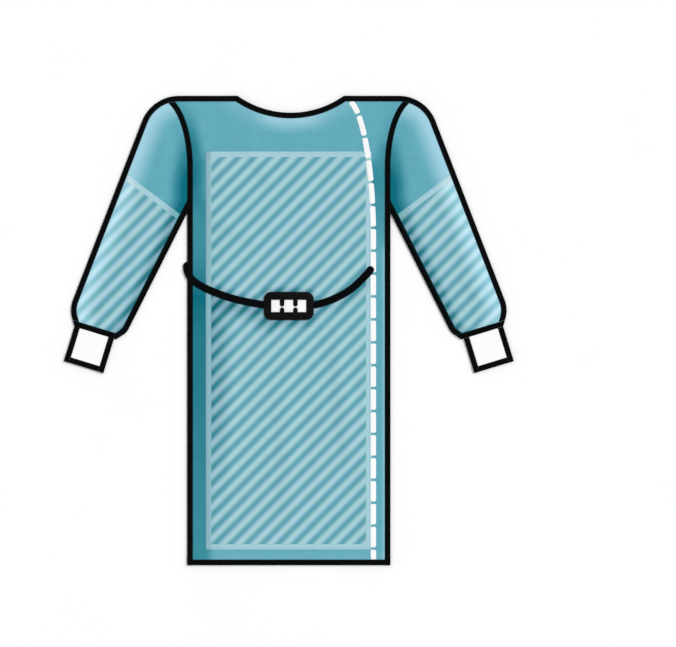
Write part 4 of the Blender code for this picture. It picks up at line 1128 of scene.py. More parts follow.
def drape(plan, tree, reach=3):
    """Heights that lay a grid on what is under it, one gap clear, and level past its edge."""
    rows, columns = plan.shape[:2]
    fine = np.empty((2 * rows - 1, 2 * columns - 1, 2))
    fine[::2, ::2] = plan
    fine[1::2, ::2] = (plan[1:] + plan[:-1]) / 2
    fine[:, 1::2] = (fine[:, :-1:2] + fine[:, 2::2]) / 2
    found = np.array([[top_at(tree, p) for p in row] for row in fine])
    for k, row in enumerate(found):
        held = np.flatnonzero(~np.isnan(row))
        for j in np.flatnonzero(np.isnan(row)) if len(held) else ():
            holder = held[nearest(held, j)]
            row[j] = row[holder] - TIE_DROOP * np.linalg.norm(fine[k, j] - fine[k, holder])
    found = np.where(np.isnan(found), np.nanmin(found), found)
    padded = np.pad(found, reach, mode="edge")
    size = 2 * reach + 1
    windows = np.lib.stride_tricks.sliding_window_view(padded, (3, size))
    highest = windows.max(axis=(2, 3))[reach - 1 : reach - 1 + found.shape[0]]
    highest = highest[:, : found.shape[1]]
    return highest[::2, ::2] + GAP


def ribbon_plan(path, half_width, columns, round_start=False, round_end=False):
    """A ribbon's plan grid about a path, with rounded ends where asked."""
    total = lengths(path)[-1]
    stations = np.linspace(0, total, round(total / TAPE_PITCH) + 1)
    tips = half_width * (1 - np.cos(np.radians(np.linspace(8, 90, 9))))
    clear = tips[-1] + TAPE_PITCH / 2
    if round_start:
        stations = np.concatenate([tips, stations[stations > clear]])
    if round_end:
        stations = np.concatenate([stations[stations < total - clear], total - tips[::-1]])
    before, after = (walk(path, np.clip(stations + step, 0, total)) for step in (-TAPE_LOOK, TAPE_LOOK))
    right = to_right(unit(after - before))
    room = np.full(len(stations), half_width)
    if round_start:
        room = np.minimum(room, stations)
    if round_end:
        room = np.minimum(room, total - stations)
    width = np.sqrt(half_width ** 2 - (half_width - room) ** 2)
    shares = np.linspace(-1, 1, columns)
    return walk(path, stations)[:, None] + (width[:, None] * shares)[..., None] * right[:, None]


# ---- every piece rides with the gown ------------------------------------------------------------
def ridden(piece, slot, *nodes):
    """The piece moves with the gown and stands for those nodes, whose CAD parts it hides; slot is not used.
    """
    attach(piece, "root")
    if nodes:
        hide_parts(*nodes)
    return piece


def laid(piece, slot, flat, held, *nodes, area=None, rests_on=()):
    """The same for a sheet; flat, the size of its cut, is not used."""
    ridden(piece, slot, *nodes)
    return piece


def turned_area(outline):
    """The area inside a closed outline: above 0 where it runs counterclockwise, and below 0 else."""
    return (outline[:-1, 0] * outline[1:, 1] - outline[1:, 0] * outline[:-1, 1]).sum() / 2


def lay_ply(name, node, plan, side, heights, material, fields, rests_on=()):
    """A ply of cloth in its finish, laid at those heights. Its plan is drawn for the right side."""
    patch = material == "patch"
    wall, rounding = (PATCH_WALL, PATCH_RIM_ROUND) if patch else (WALL, CLOTH_ROUND)
    ply = cloth(name, mirrored(plan, side), heights, wall, MATERIALS[material], fields, rounding)
    size, area = np.ptp(plan.reshape(-1, 2), axis=0), abs(turned_area(border_of(plan)))
    slot = "patch_cloth" if patch else "gown_cloth"
    laid(ply, slot, tuple(size), "laid", node, area=area, rests_on=rests_on)
    return ply


# ---- painted shading: shade and highlights painted into the cloth's colour ----------------------
# Each table holds (height up the gown, value) pairs.
# How deep the painted shade is at each height: down the front's left side, its right side, the patch's left
# edge and the sleeves' inner edges.
LEFT_PAINTED_SHADE = (
    (-0.625, -0.46), (-0.50, -0.49), (-0.45, -0.51), (-0.393, -0.55), (-0.34, -0.60), (-0.233, -0.68),
    (-0.18, -0.74), (-0.02, -0.80), (0.033, -0.88), (0.087, -1.0), (0.14, -0.74), (0.193, -0.52),
    (0.246, -0.45), (0.30, -0.45), (0.353, -0.70), (0.406, -0.85), (0.44, -0.84), (0.50, -0.74),
    (0.548, -0.46), (0.588, -0.28), (0.615, -0.15),
)
RIGHT_PAINTED_SHADE = (
    (-0.60, -0.02), (0.20, -0.06), (0.30, -0.40), (0.40, -0.50), (0.484, -0.42), (0.508, -0.22),
    (0.548, -0.18), (0.60, -0.04),
)
PATCH_PAINTED_SHADE = (
    (-0.484, -0.16), (-0.398, -0.26), (-0.313, -0.37), (-0.228, -0.53), (-0.143, -0.63), (-0.057, -0.68),
    (-0.015, -0.79), (0.028, -0.92), (0.100, -0.50), (0.156, -0.10), (0.198, -0.16), (0.241, -0.16),
    (0.284, -0.10), (0.326, -0.05), (0.412, -0.08), (0.454, 0.0),
)
SLEEVE_PAINTED_SHADE = (
    (0.00, -0.85), (0.20, -0.95), (0.30, -1.0), (0.361, -1.15), (0.390, -1.15), (0.414, -1.0),
    (0.468, -0.62), (0.500, -0.30), (0.530, -0.04), (0.560, 0.0),
)
# How far the sleeves' painted shade reaches in from the inner edge and armhole, at each height.
SLEEVE_PAINTED_SHADE_REACH = ((0.00, 0.030), (0.25, 0.038), (0.36, 0.058), (0.42, 0.056), (0.50, 0.036))
# The panels that lie under others get a little painted shade.
UNDERSIDE_PAINTED_SHADE = -0.1


def at_height(table, y):
    """A table's value at each height."""
    return np.interp(y, *zip(*table))


def fading(distance, reach):
    """1 at a line and past it, fading to 0 at the reach."""
    return 1 - smooth(distance / reach)


def front_painted_shading(points):
    """Painted shade down the left side, by the armholes and past the patch on the right; painted highlight
    along the neck.
    """
    x, y = points.T
    arm, _ = armhole(0, 2 * CLOTH_PITCH)
    from_left, from_right = (distances(mirrored(arm, side), points) - TRIM / 2 for side in (-1, 1))
    yoke = smooth((y - 0.425) / 0.06)
    # painted shade down the left side and, in the yoke, along the left armhole
    left = (1 - yoke) * smooth((-0.195 - x) / 0.030) + yoke * fading(from_left, 0.042)
    left *= at_height(LEFT_PAINTED_SHADE, y)
    left *= 1 - 0.62 * (1 - yoke) * smooth((x + 0.253) / 0.035) * smooth((y - 0.30) / 0.08)
    # painted shade past the patch on the right and, in the yoke, along the right armhole
    right = (1 - yoke) * smooth((x - 0.205) / 0.020) + yoke * fading(from_right, 0.040)
    right *= at_height(RIGHT_PAINTED_SHADE, y)
    # painted highlight on a strip beside the right binding
    lit = 0.52 * smooth((x - 0.245) / 0.010) * smooth((0.25 - y) / 0.05)
    # painted highlight along the neck, strongest at its middle
    neck = fading(distances(scoop_line(CLOTH_PITCH), points) - TRIM, 0.048)
    neck *= 0.26 + 0.52 * fading(abs(x - NECK_X) - 0.045, 0.075)
    # a little paler below the patch
    hem = 0.08 * smooth((PATCH_BOTTOM - y) / 0.01) * smooth((x + 0.21) / 0.03)
    return left + right + lit + neck + hem


def patch_painted_shading(points):
    """Painted shade down the left edge, and painted shadows around the belt and the card."""
    x, y = points.T
    belt = np.vstack([smooth_path(LEFT_TIE)[TIE_POINTS_ROUND_SIDE:], smooth_path(RIGHT_TIE)])
    under = (y < np.interp(x, belt[:, 0], belt[:, 1])).astype(float)
    from_belt = distances(belt, points) - TIE_WIDTH / 2
    from_card = np.hypot(
        np.maximum(abs(x) - CARD_SIZE[0] / 2 + CARD_CORNER, 0),
        np.maximum(abs(y - CARD_Y) - CARD_SIZE[1] / 2 + CARD_CORNER, 0),
    ) - CARD_CORNER
    side = 0.5 + 0.5 * smooth((0.10 - x) / 0.12)
    inside = x - PATCH_LEFT - PATCH_BAND
    # painted shade down the patch's left edge, past its band
    left = 1.08 * np.clip(1 - inside / 0.072, 0, 1) ** 1.5 * at_height(PATCH_PAINTED_SHADE, y)
    # painted shadow of the belt and of the card, longer below the belt and stronger on the left
    reach = 0.020 + under * (0.014 + 0.021 * smooth((-0.02 - x) / 0.03))
    painted_shadow = -(0.35 + 0.50 * under) * side * fading(from_belt, reach)
    painted_shadow = np.minimum(painted_shadow, -0.75 * side * fading(from_card, reach))
    # the left band gets a fixed painted shade and a quarter of the painted shadow
    return np.where(inside < 0, 0.25 * painted_shadow - 0.5, left + painted_shadow)


def sleeve_painted_shading(points):
    """Painted highlight along the outer edge; painted shade along the armhole's lower half and the inner
    edge.
    """
    outer, inner = sleeve_outline()
    arm, _ = armhole(0, 2 * CLOTH_PITCH)
    y = points[:, 1]
    # painted highlight along the outer edge
    painted_highlight = 0.95 * fading(distances(outer, points) - TRIM, 0.062)
    # painted shade along the inner edge and the armhole, as deep and as wide as the tables give for each
    # height
    from_edge = np.minimum(distances(inner, points) - TRIM, distances(arm, points) - TRIM / 2)
    return painted_highlight + at_height(SLEEVE_PAINTED_SHADE, y) * fading(from_edge, at_height(SLEEVE_PAINTED_SHADE_REACH, y))


# ---- cloth --------------------------------------------------------------------------------------
SEWN = {"binding": [], "patch": []}     # stitch lines, as arrays of points


def patch_fields(painted_shading_and_tone, edge, part, name):
    """What a patch's finish reads: its painted shading, the distance from a sewn edge and its stripes'
    start.
    """
    from_edge = distances(edge, part.reshape(-1, 2)) / PATCH_BAND
    return {"painted_shading_and_tone": painted_shading_and_tone, "hem": from_edge, "start": np.full(len(painted_shading_and_tone), STRIPE_STARTS[name])}


def sew_along(line):
    """A line of stitches on a binding, stopped short of the line's ends."""
    travelled = lengths(line)
    first, last = STITCH_PITCH, travelled[-1] - STITCH_PITCH
    inside = travelled[(travelled > first) & (travelled < last)]
    SEWN["binding"].append(walk(line, [first, *inside, last]))


def stitch_loop(patch, plan):
    """A line of stitches on a patch, just inside its plan's edge."""
    edge = border_of(plan)
    inset = -math.copysign(PATCH_SEW_IN, turned_area(edge))
    line = evenly(offset(edge, inset)[1:-1], CLOTH_PITCH)
    tree = surface_of([patch])
    SEWN["patch"].append(np.array([(*point, top_at(tree, point)) for point in line]))


def dress_front():
    """The front panel and the patch sewn on it."""
    plan, neck, (rows, columns) = front_plan(CLOTH_PITCH)
    heights = front_heights(plan, border_of(plan))
    fields = {"painted_shading_and_tone": front_painted_shading(plan.reshape(-1, 2))}
    front = lay_ply("front_cloth", "front_panel", plan, 1, heights, "cloth", fields, ["back_panel_wrap"])

    part = plan[rows, columns]
    fields = patch_fields(patch_painted_shading(part.reshape(-1, 2)), border_of(part), part, "front")
    patch = lay_ply(
        "front_patch", "reinforcement_front", part, 1, heights[rows, columns] + LAYER, "patch", fields,
        ["front_panel"],
    )
    stitch_loop(patch, part)
    return front, patch, plan, heights, neck


def dress_backs():
    """The outer flap with its creases, and the plain one between it and the front."""
    plan, bound = back_plan(-1, lambda y: -wrap_edge_x(y), WRAP_TOP, PLAIN_PITCH)
    points = plan.reshape(-1, 2)
    free = smooth((distances(bound, points) - (INSET - EDGE)) / SETTLE)
    heights = (LAYER * (1 - free) + free * fold_height(points, WRAP_CREASES)).reshape(plan.shape[:2])
    fields = {"painted_shading_and_tone": np.full(len(points), UNDERSIDE_PAINTED_SHADE)}
    lay_ply("wrap_flap", "back_panel_wrap", plan, -1, heights, "cloth", fields)

    free_top = scoop_y(UNDER_TOP_X, BACK_NECK_DROP)
    plan, _ = back_plan(1, under_free_x, free_top, PLAIN_PITCH)
    heights = np.full(plan.shape[:2], LAYER)
    fields = {"painted_shading_and_tone": np.full(heights.size, UNDERSIDE_PAINTED_SHADE)}
    lay_ply("under_flap", "back_panel_under", plan, 1, heights, "cloth", fields)


def dress_sleeve(label, side):
    """A sleeve's upper face with its patch, and its plainer under face."""
    plan, places = sleeve_plan(CLOTH_PITCH, SLEEVE_COLUMNS)
    heights = sleeve_heights(plan, places, label)
    fields = {"painted_shading_and_tone": sleeve_painted_shading(plan.reshape(-1, 2))}
    front = lay_ply(
        f"sleeve_cloth_{label}", f"sleeve_front_{label}", plan, side, heights, "cloth", fields,
        [f"sleeve_back_{label}"],
    )

    rows = slice(nearest(places, PATCH_SECTION), nearest(places, CUFF_SECTION) + 1)
    columns = slice(SLEEVE_MARGIN, -SLEEVE_MARGIN)
    part = plan[rows, columns]
    fields = patch_fields(sleeve_painted_shading(part.reshape(-1, 2)), part[0], part, label)
    patch = lay_ply(
        f"sleeve_patch_{label}", f"reinforcement_sleeve_{label}", part, side,
        heights[rows, columns] + LAYER, "patch", fields,
    )
    stitch_loop(patch, mirrored(part, side))

    plain, plain_places = sleeve_plan(PLAIN_PITCH, SLEEVE_COLUMNS // 2)
    free = sleeve_free(plain, plain_places, SETTLE)
    soft = fold_height(plain.reshape(-1, 2), SLEEVE_BACK_CREASES).reshape(free.shape)
    fields = {"painted_shading_and_tone": np.full(free.size, UNDERSIDE_PAINTED_SHADE)}
    lay_ply(
        f"sleeve_underside_{label}", f"sleeve_back_{label}", plain, side,
        LAYER * (1 - free) + free * soft, "cloth", fields,
    )
    return front, plan, places


# ---- bindings -----------------------------------------------------------------------------------
def armhole_top():
    """Where the shoulder's outline meets the sleeve's, its direction over the cloth and along."""
    head = np.array((SHOULDER_END, SHOULDER_Y - SLEEVE_HEAD_RADIUS))
    out = unit(armhole(0, CLOTH_PITCH)[0][-1] - head)
    return head + SLEEVE_HEAD_RADIUS * out, -out, to_right(out)


def towards(direction, edge_normal):
    """A cut's direction over the cloth, long enough to keep the binding's width."""
    direction = np.asarray(direction, float)
    return direction / abs(direction @ np.asarray(edge_normal, float))


def bind_sides_and_hem():
    """The side seams' bindings, left and right, and the hem's between them."""
    ys = filled((HEM_Y, HEM_Y + INSET, PATCH_BOTTOM, UNDERARM_Y), BINDING_PITCH)
    slot_high = 3 * LAYER + hem_rise(ys)
    left, _ = (
        bind(f"side_binding_{label}", upright(side * BODY_HALF, ys), [(-side, 0)] * len(ys), WALL, slot_high)
        for label, side in SIDES
    )
    end = BODY_HALF - TRIM - GAP
    path = [(x, HEM_Y) for x in filled((-end, end), BINDING_PITCH)]
    bind("hem_binding", path, [(0, 1)] * len(path), 2 * LAYER + WALL, 4 * LAYER)
    return left


def bind_neck_and_shoulders(plan, heights, neck):
    """The neck scoop and both shoulders, mitred at the neck's corners."""
    outline = offset(plan[-1], -EDGE)
    inward = normals(outline)
    slot_high = heights[-1] + LAYER
    corner, over, _ = armhole_top()
    for k, side in ((0, -1), (-1, 1)):
        outline[k], inward[k] = mirrored(corner, side), mirrored(over, side)
    along = unit(np.diff(outline, axis=0))
    runs = (
        ("shoulder_binding_left", 0, neck[0], WALL), ("neck_binding", *neck, 2 * LAYER + WALL),
        ("shoulder_binding_right", neck[1], len(outline) - 1, WALL),
    )
    for name, first, last, slot_low in runs:
        run = slice(first, last + 1)
        path = outline[run].copy()
        path[0] += along[first] * GAP / 2
        path[-1] -= along[last - 1] * GAP / 2
        bind(name, path, inward[run], slot_low, slot_high[run])


def bind_sleeve(label, side, plan, places):
    """The sleeve's outer and inner edges, from armhole and underarm down to the cuff seam."""
    last = nearest(places, CUFF_SECTION)
    row = unit(plan[last, -1] - plan[last, 0])
    outer = offset(plan[: last + 1, -1], -EDGE)
    over = normals(outer)
    over[-1] = towards(-row, over[-1])
    outer[-1] = plan[last, -1] - EDGE * over[-1]
    corner, over[0], along = armhole_top()
    outer[0] = corner + along * GAP / 2
    bind(f"sleeve_binding_outer_{label}", mirrored(outer, side), mirrored(over, side), WALL, 3 * LAYER)

    first = nearest(places, UNDERARM_SECTION)
    inner = offset(plan[first : last + 1, 0], EDGE)
    over = -normals(inner)
    over[-1] = towards(row, over[-1])
    inner[-1] = plan[last, 0] - EDGE * over[-1]
    slope = (inner[1] - inner[0]) / (inner[1, 0] - inner[0, 0])
    inner[0] += slope * (BODY_HALF + GAP - inner[0, 0])
    over[0] = towards((0, 1), over[0])
    bind(f"sleeve_binding_inner_{label}", mirrored(inner, side), mirrored(over, side), WALL, 3 * LAYER)


# ---- cuffs --------------------------------------------------------------------------------------
def cuff_plan(across, down, side):
    """A cuff's grid, with a row for each place down it."""
    return mirrored([[cuff_point(a, d) for a in across] for d in down], side)


def cuff_rise(down):
    """How far the knit's front rises over its wrist binding's lower leg."""
    return LAYER * smooth((down - RIBS_TO) / (CUFF_LENGTH - INSET - RIBS_TO))


def dress_cuff(label, side):
    """A rib-knit cuff: its front, its back, and its bound edges."""
    half, low_end = CUFF_HALF - EDGE, CUFF_LENGTH - EDGE
    wale = RIB_SPAN * 2 / RIBS
    across = filled((-half, -RIB_SPAN, RIB_SPAN, half), wale / WALE_STEPS)
    marks = (RIBS_FROM, RIBS_FROM + RIB_FADE, RIBS_TO - RIB_FADE, RIBS_TO, CUFF_LENGTH - INSET)
    down = filled((GAP / 2, *marks, low_end), KNIT_PITCH)
    rib = 0.5 - 0.5 * np.cos(FULL_TURN * (across + RIB_SPAN) / wale)
    rib = np.where(abs(across) < RIB_SPAN, rib ** RIB_FULLNESS, 0)
    swell = smooth((down - RIBS_FROM) / RIB_FADE) * smooth((RIBS_TO - down) / RIB_FADE)
    loops = 1 - LOOP_DEPTH * (0.5 + 0.5 * np.cos(FULL_TURN * down / KNIT_LOOP))
    levels = np.repeat(2 * LAYER + cuff_rise(down)[:, None], len(across), axis=1)
    lower = np.dstack([cuff_plan(across, down, side), levels])
    upper = lower + (0, 0, WALL)
    upper[..., 2] += RIB_HEIGHT * np.outer(swell * loops, rib)
    front = shell(f"cuff_knit_{label}", lower, upper, MATERIALS["knit"])
    size = (2 * half, low_end)
    laid(front, "white_knit", size, "laid", f"cuff_front_{label}", rests_on=[f"cuff_back_{label}"])

    across, down = (filled(stops, PLAIN_PITCH / 2) for stops in ((-half, half), (GAP / 2, low_end)))
    plan = cuff_plan(across, down, side)
    levels = np.full(plan.shape[:2], LAYER)
    back = cloth(f"cuff_underside_{label}", plan, levels, WALL, MATERIALS["knit"])
    laid(back, "white_knit", size, "laid", f"cuff_back_{label}")

    stations = filled((TRIM / 2 + GAP, RIBS_TO, CUFF_LENGTH - INSET, CUFF_LENGTH), BINDING_PITCH)
    slot_high = 3 * LAYER + cuff_rise(stations)
    inner_over, hem_over = (
        mirrored(cuff_point(*step) - cuff_point(0, 0), side) for step in ((1, 0), (0, -1))
    )
    for edge, sign in (("inner", -1), ("outer", 1)):
        path = cuff_plan([sign * CUFF_HALF], stations, side)[:, 0]
        over = [-sign * inner_over] * len(path)
        bind(f"cuff_binding_{edge}_{label}", path, over, WALL, slot_high)
    width = CUFF_HALF - TRIM - GAP
    path = cuff_plan(filled((-width, width), BINDING_PITCH), [CUFF_LENGTH], side)[0]
    bind(f"cuff_hem_{label}", path, [hem_over] * len(path), 2 * LAYER + WALL, 4 * LAYER)


# ---- tapes and ties -----------------------------------------------------------------------------
def tape(name, node, plan, heights, length, width, sew_in, crown):
    """A flat tape: its grid has a column for each place across, and it is sewn along both edges."""
    columns = plan.shape[1]
    lower = np.dstack([plan, heights])
    upper = lower + (0, 0, WALL - TAPE_THIN)
    upper[..., 2] += crown * (1 - np.linspace(-1, 1, columns) ** 2)
    upper[:, (0, -1), 2] -= TAPE_EDGE_DROP
    piece = shell(name, lower, upper, MATERIALS["binding"])
    laid(piece, "black_binding", (width, length), "laid", node)
    for sign in (-1, 1):
        share = (sign * (1 - sew_in / (width / 2)) + 1) / 2 * (columns - 1)
        sew_along(np.array([
            [np.interp(share, np.arange(columns), row[:, k]) for k in range(3)] for row in upper
        ]))


def tape_armhole(label, side, tree):
    """The tape over an armhole's seam, which stops short of the shoulder's binding."""
    heights = np.linspace(UNDERARM_Y + GAP, ARMHOLE_TOP, SECTION_SAMPLES)
    seam = upright(seam_x(heights), heights)
    head = np.array((SHOULDER_END, SHOULDER_Y - SLEEVE_HEAD_RADIUS))
    reach = SLEEVE_HEAD_RADIUS - TRIM - GAP
    columns = []
    for shift in np.linspace(-TRIM / 2, TRIM / 2, TAPE_COLUMNS):
        dense = evenly(offset(seam, shift), SEAM_PITCH)
        inside = (dense[:, 1] < head[1]) | (np.linalg.norm(dense - head, axis=1) < reach)
        end = lengths(dense)[int(np.argmin(inside)) - 1 if not inside.all() else -1]
        columns.append(walk(dense, np.linspace(0, end, TAPE_STATIONS)))
    plan = mirrored(np.array(columns).transpose(1, 0, 2), side)
    length = lengths(plan[:, TAPE_COLUMNS // 2])[-1]
    name, node = f"armhole_tape_{label}", f"armhole_binding_{label}"
    tape(name, node, plan, drape(plan, tree), length, TRIM, TAPE_SEW_IN, TAPE_CROWN)


def cuff_seam_point(share, down):
    """A place on the cuff seam's tape, whose ends run on in line with the sleeve's edges."""
    up = -down / (TRIM / 2)
    inner = CUFF_SEAM_INNER - CUFF_SEAM_SLANTS[0] * up
    outer = CUFF_SEAM_OUTER + CUFF_SEAM_SLANTS[1] * up
    return cuff_point(inner + share * (outer - inner), down)


def tape_cuff_seam(label, side):
    """The level tape over the seam between a sleeve and its cuff."""
    length = CUFF_SEAM_OUTER - CUFF_SEAM_INNER
    shares = filled((0, length), TAPE_PITCH) / length
    across = np.linspace(-TRIM / 2, TRIM / 2, TAPE_COLUMNS)
    plan = mirrored([[cuff_seam_point(s, d) for d in across] for s in shares], side)
    heights = np.full(plan.shape[:2], 3 * LAYER)
    name, node = f"cuff_tape_{label}", f"cuff_seam_{label}"
    tape(name, node, plan, heights, length, TRIM, TAPE_SEW_IN, TAPE_CROWN)


def dress_ties(under):
    """The belt's two ties, laid over what is under them; only their outer ends are rounded."""
    tree = surface_of(under)
    for label, points in (("left", LEFT_TIE), ("right", RIGHT_TIE)):
        path = smooth_path(points)
        plan = ribbon_plan(path, TIE_WIDTH / 2, TIE_COLUMNS, label == "left", label == "right")
        name, node = f"belt_{label}", f"tie_{label}"
        tape(name, node, plan, drape(plan, tree), lengths(path)[-1], TIE_WIDTH, TIE_SEW_IN, TIE_CROWN)


# ---- sewing -------------------------------------------------------------------------------------
def stitch_tree():
    """Geometry nodes that lay small arched stitches along every line of a mesh of edges."""
    tree = bpy.data.node_groups.new("stitches along lines", "GeometryNodeTree")
    for name, way, kind in (
        ("Lines", "INPUT", "Geometry"), ("Pitch", "INPUT", "Float"), ("Stitch", "INPUT", "Float"),
        ("Thread", "INPUT", "Float"), ("Finish", "INPUT", "Material"), ("Stitches", "OUTPUT", "Geometry"),
    ):
        tree.interface.new_socket(name, in_out=way, socket_type=f"NodeSocket{kind}")

    def node(kind, settings=(), **values):
        new = tree.nodes.new(kind)
        for key, setting in dict(settings).items():
            setattr(new, key, setting)
        for key, value in values.items():
            socket = new.inputs[key.replace("_", " ")]
            if isinstance(value, bpy.types.NodeSocket):
                tree.links.new(value, socket)
            else:
                socket.default_value = value
        return new.outputs

    def scaled(length, factor):
        maths = node("ShaderNodeMath", {"operation": "MULTIPLY"})[0]
        tree.links.new(length, maths.node.inputs[0])
        maths.node.inputs[1].default_value = factor
        return maths

    given = node("NodeGroupInput")
    start, end = (node("ShaderNodeCombineXYZ", X=scaled(given["Stitch"], half))[0] for half in (-0.5, 0.5))
    rise = node("ShaderNodeCombineXYZ", Z=given["Thread"])[0]
    arch = node("GeometryNodeCurveQuadraticBezier", Resolution=4, Start=start, Middle=rise, End=end)[0]
    ring = node("GeometryNodeCurvePrimitiveCircle", Resolution=5, Radius=scaled(given["Thread"], 0.5))[0]
    stitch = node("GeometryNodeCurveToMesh", Curve=arch, Profile_Curve=ring, Fill_Caps=True)[0]
    lines = node("GeometryNodeMeshToCurve", Mesh=given["Lines"])[0]
    stations = node("GeometryNodeResampleCurve", {"mode": "LENGTH"}, Curve=lines, Length=given["Pitch"])[0]
    along = {"axis": "X", "pivot_axis": "Z"}
    turn = node("FunctionNodeAlignRotationToVector", along, Vector=node("GeometryNodeInputTangent")[0])[0]
    placed = node("GeometryNodeInstanceOnPoints", Points=stations, Instance=stitch, Rotation=turn)[0]
    whole = node("GeometryNodeRealizeInstances", Geometry=placed)[0]
    rounded = node("GeometryNodeSetShadeSmooth", Geometry=whole, Shade_Smooth=True)[0]
    finished = node("GeometryNodeSetMaterial", Geometry=rounded, Material=given["Finish"])[0]
    node("NodeGroupOutput", Stitches=finished)
    return tree


def sew(name, lines, finish, slot, tree):
    """One piece with a stitch at every pitch along the lines."""
    points = np.vstack(lines)
    starts = np.cumsum([0] + [len(line) for line in lines])
    edges = [(k, k + 1) for a, b in zip(starts, starts[1:]) for k in range(a, b - 1)]
    mesh = bpy.data.meshes.new(f"{name}_lines")
    mesh.from_pydata(points.tolist(), edges, [])
    guide = in_scene(f"{name}_lines", mesh)
    modifier = guide.modifiers.new("stitches", "NODES")
    modifier.node_group = tree
    values = {"Pitch": STITCH_PITCH, "Stitch": STITCH_LENGTH, "Thread": THREAD, "Finish": finish}
    for item in tree.interface.items_tree:
        if item.in_out == "INPUT" and item.name in values:
            modifier[item.identifier] = values[item.name]
    depsgraph = bpy.context.evaluated_depsgraph_get()
    result = bpy.data.meshes.new_from_object(guide.evaluated_get(depsgraph), depsgraph=depsgraph)
    guide.modifiers.clear()
    bpy.data.objects.remove(guide)
    result.name = name
    ridden(in_scene(name, result), slot)


def dash_lines():
    """The white tacking's paths from its gap at DASH_START_Y: up to the neck, and down to the hem."""
    turns = np.radians(np.linspace(0, 90, SECTION_SAMPLES))
    width = WRAP_EDGE_X - WRAP_TURN_X
    xs, ys = WRAP_TURN_X + width * np.cos(turns), WRAP_TURN_Y + WRAP_TALL * np.sin(turns)
    arc = np.stack([xs, ys], axis=1)[ys < SHOULDER_Y - TRIM - GAP]
    start = (WRAP_EDGE_X, DASH_START_Y)
    return np.vstack([start, arc]), np.array((start, (WRAP_EDGE_X, HEM_Y + TRIM + GAP)))


def dash_bars():
    """Each dash's own stretch of the tacking's paths."""
    for path in dash_lines():
        total = lengths(path)[-1]
        for k in range(math.ceil(total / DASH_PITCH)):
            start = k * DASH_PITCH + DASH_GAP / 2
            end = min((k + 1) * DASH_PITCH - DASH_GAP / 2, total)
            if end - start > DASH_WIDTH / 2:
                yield walk(path, filled((start, end), TACK_PITCH))


def dash_surfaces(bar, tree):
    """A dash's lower and upper grids: a padded bar of threads laid across, round at its corners."""
    travelled, right = lengths(bar), normals(bar)
    stations = np.arange(0, travelled[-1], DASH_THREAD / 2)

    def at_stations(grid):
        return np.array([np.interp(stations, travelled, column) for column in grid.T]).T

    across = np.linspace(-1, 1, DASH_COLUMNS)
    coarse = bar[:, None] + (DASH_WIDTH / 2 * across)[None, :, None] * right[:, None]
    low = at_stations(drape(coarse, tree, 1) - GAP * DASH_SUNK)
    ends = np.minimum(stations, travelled[-1] - stations)
    corner = np.sqrt(1 - np.clip(1 - ends / DASH_CORNER, 0, 1) ** 2)
    half_width = DASH_WIDTH / 2 - DASH_CORNER * (1 - corner)
    for height, waves, phase in DASH_WAVERS:
        half_width = half_width + height * np.cos(stations * waves + phase)
    sideways = (half_width[:, None] * across)[..., None] * at_stations(right)[:, None]
    plan = at_stations(bar)[:, None] + sideways
    dome = DASH_EDGE + (DASH_DOME - DASH_EDGE) * np.outer(smooth(ends / DASH_FADE), 1 - across ** 4)
    up_and_down = np.where(np.arange(len(stations)) % 2, DASH_RIDGE, -DASH_RIDGE)
    high = low + dome + np.outer(up_and_down, 1 - 0.5 * across ** 2)
    return np.dstack([plan, low]), np.dstack([plan, high])


def tack_overlap(under):
    """Bold white dashes that follow the wrap flap's edge, over the front and its patch."""
    tree = surface_of(under)
    points, faces = [], []
    for bar in dash_bars():
        lower, upper = dash_surfaces(bar, tree)
        faces += wall_faces(*lower.shape[:2], len(points))
        points += [*lower.reshape(-1, 3), *upper.reshape(-1, 3)]
    piece = made("white_tacking", points, faces, MATERIALS["white thread"])
    face_outward(piece)
    return ridden(piece, "white_knit")


# ---- card ---------------------------------------------------------------------------------------
def rounded_rectangle(width, height, radius, middle):
    """A rectangle's outline with round corners, counterclockwise."""
    points = []
    for quarter, (sx, sy) in enumerate(((1, 1), (-1, 1), (-1, -1), (1, -1))):
        cx = middle[0] + sx * (width / 2 - radius)
        cy = middle[1] + sy * (height / 2 - radius)
        for angle in np.linspace(0, math.pi / 2, CORNER_STEPS + 1) + math.pi / 2 * quarter:
            points.append((cx + radius * math.cos(angle), cy + radius * math.sin(angle)))
    return points


def window_outline():
    """The frame's window: one slot, with four stubs left of its two broken bars."""
    half_w, half_h = WINDOW_SIZE[0] / 2, WINDOW_SIZE[1] / 2
    tip, radius = BAR_BREAK / 2, BAR_WIDTH / 2
    points = []
    for sy in (-1, 1):
        points.append((sy * half_w, sy * half_h))
        for sx in (sy, -sy):
            middle = sx * BAR_X
            points.append((middle + sy * radius, sy * half_h))
            for angle in np.linspace(0, math.pi, STUB_STEPS + 1):
                reach = tip + radius - radius * math.sin(angle)
                points.append((middle + sy * radius * math.cos(angle), sy * reach - BAR_DROP))
            points.append((middle - sy * radius, sy * half_h))
        points.append((-sy * half_w, sy * half_h))
    return [(x, y + CARD_Y) for x, y in points]


